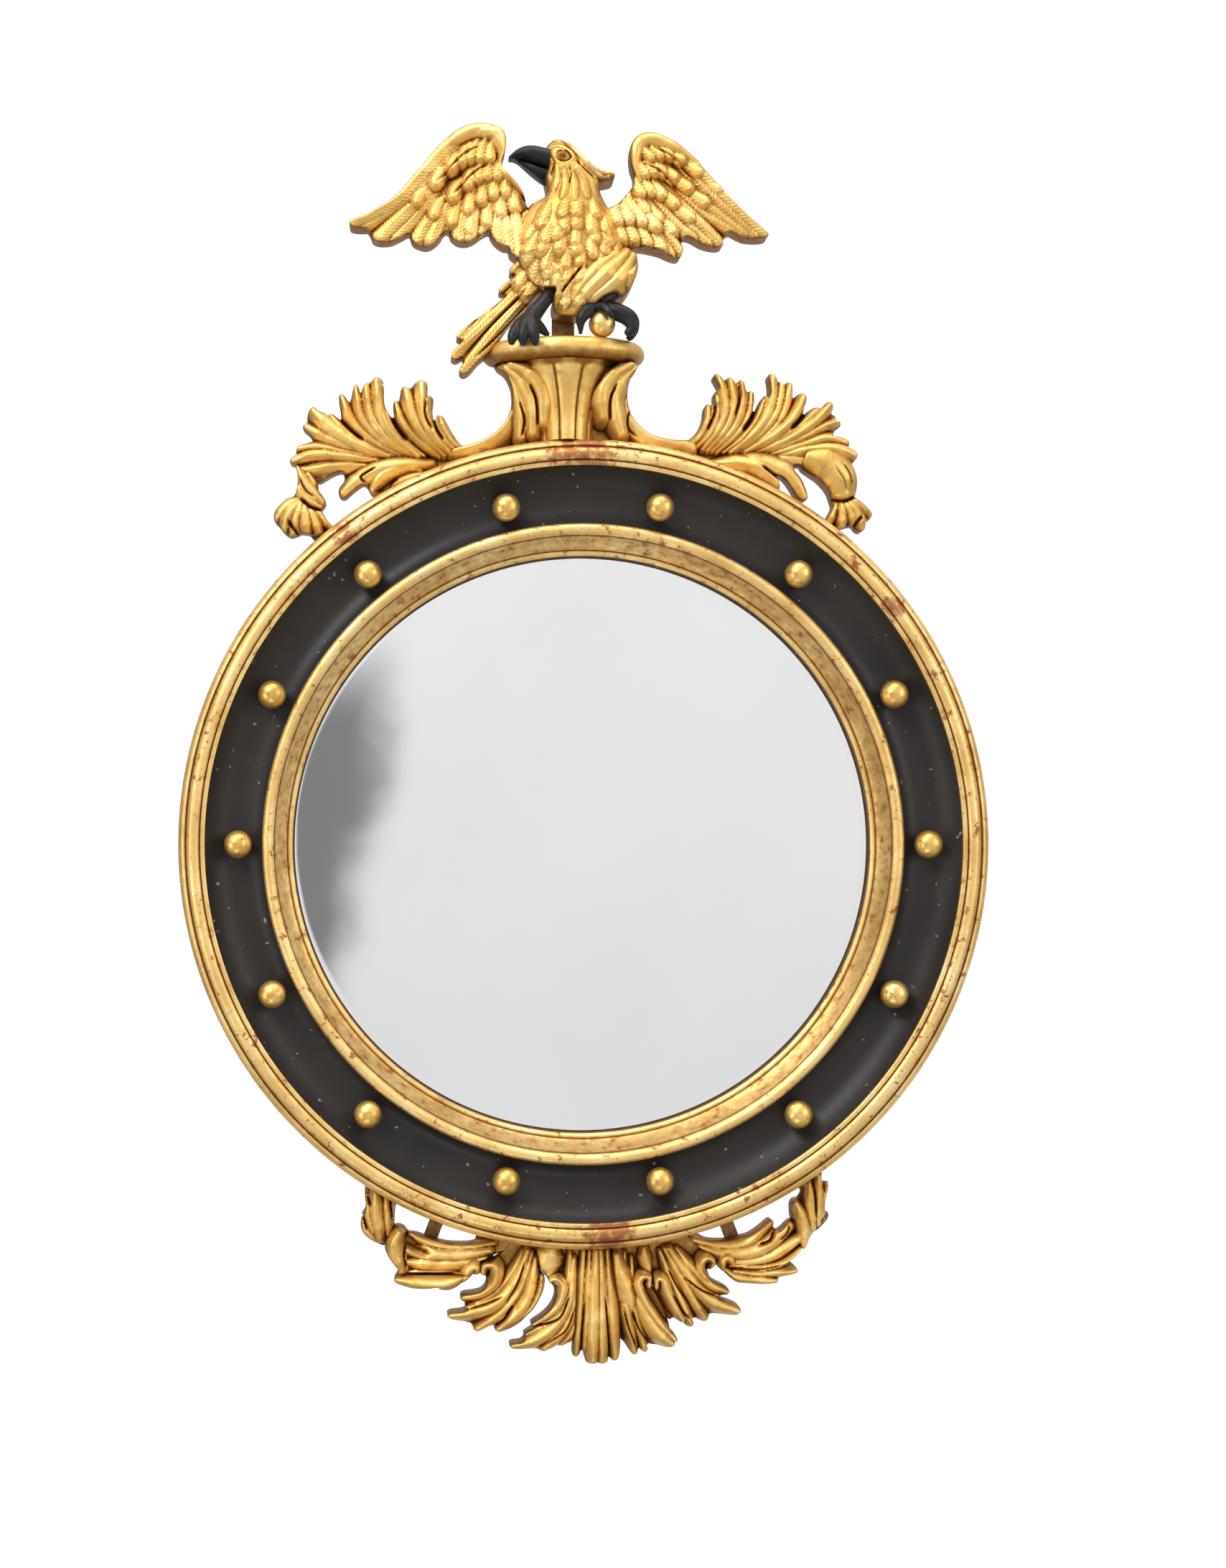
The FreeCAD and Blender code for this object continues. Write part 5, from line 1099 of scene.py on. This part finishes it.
carved("eagle_left_wing", "eagle_wing_left", [
    (-30, 535), (-42, 541), (-47, 545), (-51, 552), (-57, 560), (-64, 567), (-69, 572), (-69.5, 578),
    (-66.5, 586), (-65.5, 595), (-67, 603), (-71, 608), (-77, 611), (-85, 611.5), (-94, 611), (-103, 608),
    (-111, 603), (-119, 596), (-127, 587), (-135, 577), (-144, 566), (-153, 555), (-162, 546), (-173, 539),
    (-184, 532.5), (-194, 529), (-198, 526), (-196, 522.5), (-188, 521.5), (-183, 521.5), (-180, 517),
    (-178, 512.5), (-172, 510.5), (-163, 511), (-155, 514.5), (-148, 518), (-146.5, 516), (-145, 511.5),
    (-141, 508.5), (-134, 506.5), (-128, 508), (-122, 513), (-117.5, 519.5), (-114, 519.5), (-112, 515),
    (-107, 511), (-100, 509.8), (-93, 512), (-86, 517), (-80, 519.5), (-78, 515), (-74, 510), (-68, 506),
    (-63.5, 505), (-62, 500), (-58, 496.5), (-53, 495.5), (-44, 497), (-34, 505)], [
    full_ridge(12, 24, (-70, 574), (-70, 590), (-76, 603), (-90, 606), (-106, 600), (-120, 588), valley=5,
               flutes=0.2),
    feather(13, 24, (-96, 604), (-118, 590), (-138, 568), (-160, 545), (-195, 526), tilt=-1.0),
    feather(10, 21, (-106, 594), (-128, 572), (-148, 551), (-186, 524)),
    feather(13, 20, (-112, 585), (-130, 562), (-147, 541), (-173, 515)),
    feather(11, 18, (-116, 572), (-131, 548), (-145, 530), (-160, 516)),
    feather(12, 19, (-112, 560), (-124, 541), (-141, 514)),
    feather(12, 20, (-108, 557), (-117, 540), (-130, 512)),
    feather(9, 17, (-104, 552), (-110, 537), (-118, 521)),
    feather(12, 20, (-98, 550), (-103, 534), (-106, 515)),
    feather(11, 21, (-92, 547), (-94, 532), (-96, 514)),
    feather(10, 19, (-86, 546), (-85, 533), (-86, 519)),
    *feather_row([(-58, 560), (-68, 555), (-78, 546), (-90, 538)], 4, 262, 246, 20, 12, 22),
    *feather_row([(-64, 571), (-76, 568), (-88, 559), (-104, 545)], 5, 258, 240, 19, 11.5, 22.5),
    *feather_row([(-70, 584), (-82, 582), (-94, 573), (-118, 549)], 6, 254, 234, 18, 11, 23),
    *feather_row([(-76, 597), (-90, 597), (-104, 588), (-132, 558)], 7, 250, 228, 17, 10.5, 23.5),
    full_ridge(13, 27, (-47, 553), (-57, 562), (-66, 572), (-66, 588), (-73, 602), (-90, 605), flutes=0.1,
               valley=6), feather(12, 22, (-76, 540), (-74, 525), (-70, 511)),
    feather(12, 24, (-68, 534), (-65, 520), (-62, 504)),
    feather(13, 26, (-58, 532), (-56, 516), (-54, 499)),
    feather(12, 28, (-48, 532), (-46, 518), (-44, 502))],
    [cut(3, 3, (-88, 592), (-104, 582), (-124, 560)), cut(3, 3, (-80, 577), (-94, 568), (-110, 550))],
    back=26.0, seed=9, grow=1.0)
carved("eagle_right_wing", "eagle_wing_right", [
    (14, 530), (23, 533.5), (29, 538), (35, 545), (40, 552), (41, 560), (38.5, 568), (37.5, 578),
    (38.5, 586), (42, 592), (48, 596), (56, 596.8), (64, 594.5), (72, 590.5), (80, 585.5), (88, 579),
    (95, 573), (101, 565), (108, 556.5), (116, 547), (125, 537.5), (133, 529.5), (141, 522), (149, 515),
    (153.5, 511), (151, 508), (143, 507.2), (134, 508), (127, 511), (122, 513.5), (118, 511), (115, 507),
    (115.5, 502.5), (112, 500.5), (105, 501), (97, 503.5), (89, 508), (83, 509), (81.5, 504), (82, 499),
    (80.5, 493.5), (77, 491), (71, 492.5), (63, 496), (55, 498), (45, 499.5), (30, 497), (18, 505)], [
    full_ridge(13, 25, (46, 556), (42, 573), (45, 587), (56, 591), (72, 585), (92, 573), valley=5,
               flutes=0.2), feather(9, 23, (64, 586), (86, 575), (108, 553), (150, 511), tilt=-1.0),
    feather(9, 21, (60, 581), (82, 567), (106, 543), (142, 509)),
    feather(9, 20, (58, 574), (78, 559), (100, 537), (132, 511)),
    feather(8, 19, (57, 567), (75, 551), (95, 531), (122, 514)),
    feather(9, 21, (56, 560), (71, 545), (90, 526), (113, 503)),
    feather(8, 20, (54, 553), (67, 539), (84, 521), (103, 503)),
    feather(9, 21, (52, 547), (63, 534), (76, 519), (90, 508)),
    feather(8, 22, (50, 540), (59, 526), (69, 510), (80, 495)),
    feather(9, 22, (46, 534), (54, 520), (62, 507), (71, 494)),
    *feather_row([(34, 548), (43, 548), (52, 541), (62, 530)], 4, 282, 296, 20, 11, 24),
    *feather_row([(40, 562), (50, 562), (61, 554), (76, 538)], 5, 284, 304, 18, 10.5, 24),
    *feather_row([(43, 576), (54, 577), (67, 569), (88, 549)], 6, 288, 310, 17, 10, 24),
    *feather_row([(47, 588), (59, 589), (73, 582), (100, 558)], 6, 292, 314, 16, 9.5, 24),
    *feather_row([(28, 528), (40, 526), (54, 518)], 4, 270, 288, 22, 11.5, 27),
    *feather_row([(24, 538), (36, 539), (50, 532)], 4, 272, 290, 18, 11.5, 28)],
    [cut(3, 3, (58, 584), (74, 574), (94, 554)), cut(3, 3, (50, 570), (64, 562), (80, 546))],
    back=26.0, seed=10)
carved("eagle_tail_feathers", "eagle_tail", [
    (-30, 505), (-46, 499), (-56, 490), (-62.5, 483), (-63, 478.5), (-59, 477), (-66, 471), (-72, 465.5),
    (-71, 462), (-66, 461), (-75, 452.5), (-88, 443), (-98, 435), (-107, 427), (-107, 423.5), (-102.5, 422),
    (-106, 417.5), (-111.5, 411), (-112, 407), (-108, 405.5), (-103, 408), (-102.5, 403), (-105.5, 397),
    (-102.5, 393.5), (-97, 396), (-90, 404), (-82, 411), (-75, 419), (-68, 430), (-60, 440), (-48, 452),
    (-38, 462), (-20, 470)], [
    feather(11, 20, (-36, 500), (-50, 490), (-62, 479), tilt=-1.0),
    feather(10, 19, (-40, 492), (-56, 478), (-71, 464), tilt=-1.0),
    feather(11, 20, (-42, 487), (-70, 459), (-106, 425), tilt=-1.2),
    feather(12, 22, (-38, 480), (-68, 449), (-111, 408), tilt=-1.2),
    feather(11, 21, (-34, 474), (-62, 444), (-103, 395), tilt=-1.2),
    feather(12, 18, (-28, 470), (-52, 446), (-84, 414), tilt=-1.0),
    feather(12, 24, (-28, 500), (-44, 484), (-56, 470)),
    feather(12, 25, (-24, 492), (-38, 476), (-50, 462))],
    [cut(3, 4, (-60, 470), (-80, 452), (-100, 430)), cut(3, 5, (-50, 464), (-76, 438), (-103, 408)),
     cut(3, 4, (-46, 456), (-70, 430), (-92, 408))], back=26.0, seed=11)


def limb(spots, sides=16):
    """A round limb through (x, depth, z, radius) spots in mm, its sections square to its way."""
    path = smooth_line(spots)
    rings = []
    for i, (*spot, radius) in enumerate(path):
        way = Vector(path[min(i + 1, len(path) - 1)][:3] - path[max(i - 1, 0)][:3]).normalized()
        first = way.cross(Vector((0, 1, 0)) if abs(way.y) < 0.9 else Vector((1, 0, 0))).normalized()
        second = way.cross(first)
        rings.append([metres(*(Vector(spot) + first * x + second * z))
                      for x, _, z in circle(float(max(radius, 0.3)), 0, sides)])
    return skin(rings)


def fused(meshes, voxel=0.0007):
    """Several closed skins grown into one by a fine remesh."""
    shape = bmesh.new()
    for mesh in meshes:
        shape.from_mesh(mesh)
    mesh = bpy.data.meshes.new("limbs")
    shape.to_mesh(mesh)
    shape.free()
    holder = bpy.data.objects.new("limbs", mesh)
    scene.collection.objects.link(holder)
    grown = holder.modifiers.new("grow", "REMESH")
    grown.mode = "VOXEL"
    grown.voxel_size = voxel
    holder.modifiers.new("ease", "SMOOTH").iterations = 3
    mesh = plain_mesh(holder)
    mesh.shade_smooth()
    return mesh


horn = black_finish("ebonised_beak_and_feet", (0.010, 0.009, 0.009), 0.40, 0.12)
# Each foot's shank and toes, as (x, depth, z, radius) spots
FEET = {
    "left": [
        [(-22, 48, 474, 7), (-32, 54, 460, 6), (-41, 60, 448, 7), (-48, 64, 438, 8)],
        [(-46, 62, 444, 5.5), (-56, 69, 434, 5.4), (-61, 74, 424, 4.6), (-62, 75, 417, 2.2)],
        [(-47, 64, 443, 5.5), (-51, 72, 434, 5.4), (-52.5, 76, 424, 4.6), (-52.5, 76, 416, 2.2)],
        [(-45, 64, 443, 5.5), (-45, 72, 434, 5.4), (-43, 76, 424, 4.6), (-42.5, 76, 416, 2.2)],
        [(-46, 62, 442, 5), (-38, 57, 436, 4.6), (-30, 52, 429.5, 2)]],
    "right": [
        [(34, 46, 476, 7), (24, 50, 466, 7.5), (13, 54, 456, 7.5), (6, 56, 450, 6)],
        [(14, 54, 455, 6.5), (2, 60, 448, 6), (-3, 62, 441, 4.6), (-3.5, 62, 434, 2.6),
         (-3.5, 62, 428.5, 1.4)],
        [(16, 54, 454, 6.5), (28, 58, 448, 7.5), (38, 60, 442, 7), (40, 62, 434, 5.5), (35, 63, 428, 3)],
        [(20, 52, 452, 6), (34, 50, 446, 6), (42, 48, 438, 5.2), (40, 47, 430, 3.4), (37, 47, 427.5, 2)],
        [(14, 56, 453, 5), (16, 65, 450, 4.2), (20, 70, 445, 3.2), (23, 70.5, 440, 1.6)]]}
for side_name, limbs in FEET.items():
    foot = fused([limb(spots) for spots in limbs])
    stand_in("eagle_foot_" + side_name, foot, "eagle_leg_" + side_name, horn)
carved("eagle_black_beak", "eagle_beak", [
    (-27, 584), (-33, 585.5), (-42, 588), (-51, 588.5), (-58, 586), (-62.5, 581.5), (-63.5, 578),
    (-60, 577.5), (-55, 575), (-49, 569.5), (-42, 563.5), (-35, 558.5), (-31, 558), (-26, 566)], [
    ridge(19, 25, (-24, 576), (-38, 580), (-51, 582), (-62, 578), rises=((0, 0.95), (0.6, 0.9), (1, 0.6)),
          valley=9, flutes=0.0, widths=((0, 1), (0.5, 0.85), (1, 0.4))),
    ridge(10, 20, (-26, 564), (-40, 568), (-53, 576), rises=((0, 0.95), (0.6, 0.9), (1, 0.6)), valley=5,
          flutes=0.0)],
    [cut(2.6, 6, (-29, 567), (-42, 572), (-58, 579))],
    material=horn, finish_slot="black_horn", back=33.0, seed=21, wander=0.05, round_over=2.5, grow=1.006)
held_ball = placed_on_points("gilt_talon_ball", [(0.015, -0.057, 0.438)], turned_ball(0.0112, 0.002, 0.0005),
                             ball_gold, 2)
stand_in("gilt_talon_ball", held_ball, "talon_ball")


# ---- Apron ---------------------------------------------------------------------------------------------
# Below the frame hangs a fan of acanthus: a middle leaf, two lobed leaves on each side, a scroll
# and a small upright leaf at each end. The gaps between the leaves end in small curled eyes.
carved("apron_middle_leaf", "apron_centre", [
    (-9, -335), (-10, -380), (-9.5, -415), (-10, -429), (-8, -432), (-5, -431), (-1.5, -427.5), (0, -431),
    (1.5, -437), (6, -440.5), (12, -440.5), (17, -439.5), (20, -436), (21, -430), (22.5, -434),
    (25.5, -435), (28.5, -432.5), (30, -427), (30.5, -418), (31, -400), (33, -335)], [
    ridge(10, 20, (0, -343), (-3, -385), (-6.5, -429)), ridge(8, 23, (5, -343), (2, -390), (0, -424)),
    ridge(12, 28, (10, -343), (8, -390), (7, -436)), ridge(11, 27, (14, -343), (15, -390), (14.5, -437)),
    ridge(11, 24, (20, -343), (22, -390), (26, -431))],
    [cut(2.5, 5, (-3, -432), (-2, -410), (0, -385)), cut(2.5, 5, (21, -430), (19, -405), (17, -380))],
    seed=12)
carved("apron_left_leaf", "apron_leaf_left", [
    (-7, -338), (-38, -334), (-39, -350), (-35, -360), (-31, -365), (-28.5, -370.5), (-25.5, -374),
    (-24.8, -380), (-27.5, -387), (-32, -393), (-38, -398), (-44, -402), (-45, -404.5), (-42.5, -406),
    (-46, -408.5), (-51, -412), (-50.5, -415), (-54, -418.5), (-61, -419.5), (-63, -422), (-58, -425),
    (-48, -426), (-36, -427), (-31, -425.5), (-27, -426), (-22, -423.5), (-18, -422.5), (-13, -422),
    (-9.5, -418), (-8, -395)], [
    full_ridge(8, 26, (-31, -367), (-24, -365), (-18, -372), (-22, -386), (-32, -395), (-43, -403)),
    ridge(9, 22, (-12, -345), (-14, -373), (-22, -393), (-36, -405), (-49, -412)),
    ridge(11, 26, (-9, -350), (-13, -383), (-25, -404), (-42, -416), (-60, -421)),
    ridge(10, 23, (-7, -360), (-10, -393), (-20, -411), (-34, -424)),
    ridge(9, 20, (-5, -365), (-7, -397), (-11, -411), (-19, -420)),
    full_ridge(15, 22, (-28, -338), (-31, -350), (-30, -361), valley=4)],
    [cut(2.5, 5, (-13, -380), (-22, -398), (-44, -405.5)),
     cut(2.5, 4, (-8, -390), (-16, -408), (-30, -418))], seed=13, back=20.5)
carved("apron_left_lobe", "apron_lobe_left", [
    (-60, -332), (-36, -336), (-38, -350), (-36, -360), (-33, -365), (-33, -373), (-37, -381), (-42, -389),
    (-48, -396), (-54, -402), (-60, -406.5), (-66, -409.5), (-72, -410), (-75.5, -408), (-76.5, -405),
    (-80, -405.5), (-84, -407.5), (-89, -410), (-93, -409.3), (-94.5, -405.5), (-100, -404), (-107, -401.5),
    (-113, -398.5), (-115.5, -395.5), (-112, -393.5), (-104, -392.5), (-98, -390), (-101, -388),
    (-98, -386), (-103, -384.5), (-104.5, -380.5), (-102, -378), (-95, -377), (-88, -375.5), (-84, -372),
    (-82.5, -367), (-84, -362.5), (-88, -360), (-88.5, -355), (-84, -351), (-78, -350), (-70, -345),
    (-64, -338)], [
    full_ridge(9, 26, (-86, -361), (-84, -354), (-76, -354), (-74, -363), (-78, -371), (-88, -377),
               (-102, -381)), ridge(8, 21, (-52, -343), (-62, -362), (-77, -378), (-99, -389)),
    ridge(12, 26, (-48, -343), (-58, -368), (-77, -387), (-113, -396)),
    ridge(10, 23, (-44, -345), (-54, -374), (-70, -393), (-90, -407)),
    ridge(12, 27, (-41, -350), (-46, -376), (-55, -392), (-72, -406)),
    full_ridge(5, 26, (-36, -363), (-38, -375), (-44, -387), (-53, -398))],
    [cut(3.5, 8, (-61, -388), (-67, -398), (-76, -406)), cut(2.5, 4, (-70, -380), (-84, -386), (-98, -390)),
     cut(2.5, 5, (-50, -352), (-57, -370), (-66, -384))], seed=14, back=21.0)
carved("apron_left_scroll", "apron_scroll_left", [
    (-60, -326), (-88, -330), (-92, -334.5), (-100, -336), (-115, -335.5), (-125, -333), (-135, -330),
    (-143, -327.5), (-148, -327), (-152, -322.5), (-157, -321), (-162, -323), (-166, -330), (-168, -339),
    (-165, -346), (-160, -353), (-156.5, -358), (-157.5, -361.5), (-160, -366), (-158, -369.5),
    (-150, -372), (-142, -373.3), (-132, -373.3), (-124, -372), (-121, -374), (-115, -375), (-109, -373.5),
    (-103, -369), (-96, -363.5), (-90, -361), (-87, -359), (-88, -354), (-85, -350), (-72, -346),
    (-60, -340)], [
    full_ridge(8, 17, (-76, -336), (-100, -339.5), (-122, -338), (-146, -330), valley=4),
    full_ridge(10, 21, (-80, -342), (-105, -346), (-130, -345), (-150, -342), valley=4),
    full_ridge(10, 20, (-84, -349), (-110, -353), (-135, -353), (-150, -352), valley=4),
    full_ridge(8, 15, (-90, -356), (-115, -359), (-140, -360), (-154, -361), valley=4),
    full_ridge(10, 26, (-98, -361), (-116, -369), (-138, -369), (-158, -366), valley=5),
    full_ridge(8, 27, (-101, -366), (-98, -358), (-92, -355), (-90, -360), valley=4),
    full_ridge(14, 28, (-156, -326), (-160, -335), (-159, -346), (-154, -357), valley=7, flutes=0.0)],
    [cut(9, 10, (-149, -330), (-143, -339), (-130, -345)),
     cut(3, 6, (-98, -362), (-118, -362), (-154, -362)),
     cut(3, 6, (-150, -333), (-152, -345), (-150, -358))], seed=15, back=20.5)
carved("apron_left_end", "apron_end_left", [
    (-158, -290), (-182, -286), (-185, -297), (-184, -304), (-186.5, -313), (-188.5, -319), (-187, -327),
    (-183, -332), (-177, -336), (-170, -339.5), (-165, -338), (-161, -331), (-160, -322), (-159.5, -310)], [
    full_ridge(8, 19, (-182, -298), (-182, -312), (-178, -327)),
    full_ridge(12, 22, (-176, -292), (-175, -310), (-172, -331)),
    full_ridge(10, 20, (-167, -296), (-166, -310), (-165, -328)),
    full_ridge(7, 17, (-187, -316), (-184, -325), (-175, -334))],
    [cut(4, 8, (-183, -296), (-180, -304)), cut(2.5, 5, (-186, -314), (-183, -325)),
     cut(3, 6, (-164, -298), (-162, -316))], seed=16)
carved("apron_right_leaf", "apron_leaf_right", [
    (26, -336), (60, -334), (58, -352), (57, -362), (58, -372), (64, -384), (70, -396), (71.5, -404),
    (71.5, -408), (76, -412.5), (79, -418), (75.8, -418.5), (75.5, -420.8), (70, -423), (62, -423.5),
    (55, -422.5), (53, -422.5), (54.5, -427), (52, -429.5), (48.5, -427), (46, -426), (45, -429),
    (42, -430), (38, -426.5), (34, -421), (31, -417.5), (29, -410), (27, -380)], [
    ridge(9, 22, (34, -345), (34, -375), (37, -400), (42, -427)),
    ridge(8, 21, (40, -348), (41, -380), (45, -403), (51, -425)),
    full_ridge(14, 24, (27, -346), (29, -360), (35, -374), (41, -392)),
    ridge(12, 27, (42, -364), (47, -385), (57, -405), (73, -420)),
    full_ridge(8, 27, (54, -371), (54, -364), (48, -363), (45, -370), (51, -384), (60, -398), (76, -416)),
    full_ridge(10, 18, (50, -340), (52, -352), (56, -362))],
    [cut(6.5, 17, (52, -374), (57, -382), (63, -391), (70, -403)),
     cut(2.5, 5, (40, -392), (46, -408), (56, -421)), cut(2.5, 5, (33, -390), (37, -406), (44, -424))],
    seed=17, back=20.5)
carved("apron_right_lobe", "apron_lobe_right", [
    (56, -332), (92, -330), (100, -339), (107, -344), (111, -349), (110, -353.5), (106, -356),
    (104.5, -361), (107, -366), (112, -369), (118, -372), (122.5, -376), (121, -379.3), (115, -379.5),
    (111, -380), (114, -382), (121, -384.5), (128, -387.5), (131.5, -391.5), (127, -396), (120, -397.5),
    (108, -397), (104, -401), (98, -402), (93, -399.5), (90.5, -399.5), (92.5, -404), (91, -407.3),
    (87, -407), (82, -402.5), (76, -400.5), (72.5, -402), (68, -395), (63, -384), (59, -374), (57, -365),
    (57, -350)], [
    full_ridge(8, 27, (60, -372), (61, -365), (66, -366), (70, -377), (76, -389), (82, -399)),
    ridge(9, 22, (64, -343), (72, -363), (80, -381), (90, -403)),
    ridge(9, 24, (68, -341), (79, -361), (90, -380), (101, -398)),
    ridge(11, 27, (72, -341), (86, -361), (103, -381), (128, -392)),
    ridge(9, 24, (78, -341), (92, -358), (104, -369), (119, -376)),
    full_ridge(7, 26, (107, -356), (108, -350), (103, -347), (98, -351), (98, -360), (107, -369))],
    [cut(3, 6, (74, -378), (82, -392), (90, -400)), cut(2.5, 5, (84, -364), (98, -374), (112, -380)),
     cut(2.5, 4, (70, -356), (78, -372), (88, -386))], seed=18, back=21.0)
carved("apron_right_scroll", "apron_scroll_right", [
    (84, -324), (96, -329), (103, -332.5), (112, -333.5), (122, -333), (130, -331), (138, -329),
    (144, -325.5), (150, -321), (154, -317.5), (157, -316), (160, -318.5), (160, -323), (163, -325.5),
    (167, -323), (172, -318), (176, -317), (181, -324), (184, -334), (182, -341), (177, -347), (171, -351),
    (176, -354), (179.5, -357.5), (179.5, -360.5), (176, -362.5), (170, -364), (163.5, -366), (162, -369),
    (155, -369.8), (145, -369.5), (135, -369), (128, -368), (122, -364), (116, -358.5), (110.5, -354),
    (111, -349), (104, -343), (92, -336)], [
    full_ridge(9, 19, (92, -333), (114, -338), (136, -336), (157, -319), valley=4),
    full_ridge(11, 22, (98, -340), (122, -345), (148, -341), (172, -322), valley=4),
    full_ridge(10, 21, (106, -346), (130, -351.5), (154, -348), (180, -333), valley=4),
    full_ridge(4, 24, (122, -354), (145, -356), (165, -352.5), (182, -341), valley=3),
    full_ridge(7, 27, (116, -357), (116, -349), (121, -347), (125, -353)),
    full_ridge(8, 24, (118, -357), (128, -364), (145, -366), (161, -367)),
    full_ridge(8, 22, (126, -359), (145, -361), (162, -360), (178, -359))],
    [cut(4, 7, (147, -337), (156, -333), (160, -325)), cut(3, 5, (164, -333), (170, -328), (173, -320)),
     cut(3, 5, (124, -355), (145, -357), (168, -353))], seed=19, back=20.5)
carved("apron_right_end", "apron_end_right", [
    (184, -280), (201, -270), (202, -284), (207, -285.5), (206, -290), (203.5, -300), (203.5, -309),
    (207, -311.5), (207.3, -316), (203, -322), (196.5, -327.5), (190, -330.5), (187.5, -337), (184, -341),
    (179, -332), (176, -320), (174.5, -311), (174.5, -303.5), (177, -299.5), (181, -298.5), (184, -293),
    (180, -288)], [
    full_ridge(10, 22, (178, -302), (183, -313), (186, -325), (185, -338)),
    full_ridge(10, 21, (189, -286), (191, -304), (192, -323)),
    full_ridge(9, 20, (197, -282), (198, -300), (197, -319)),
    full_ridge(7, 17, (205, -288), (201, -303), (201, -317))],
    [cut(4, 8, (186, -288), (184, -301)), cut(3, 6, (205, -311), (200, -319)),
     cut(2.5, 4, (194, -290), (195, -312))], seed=20)
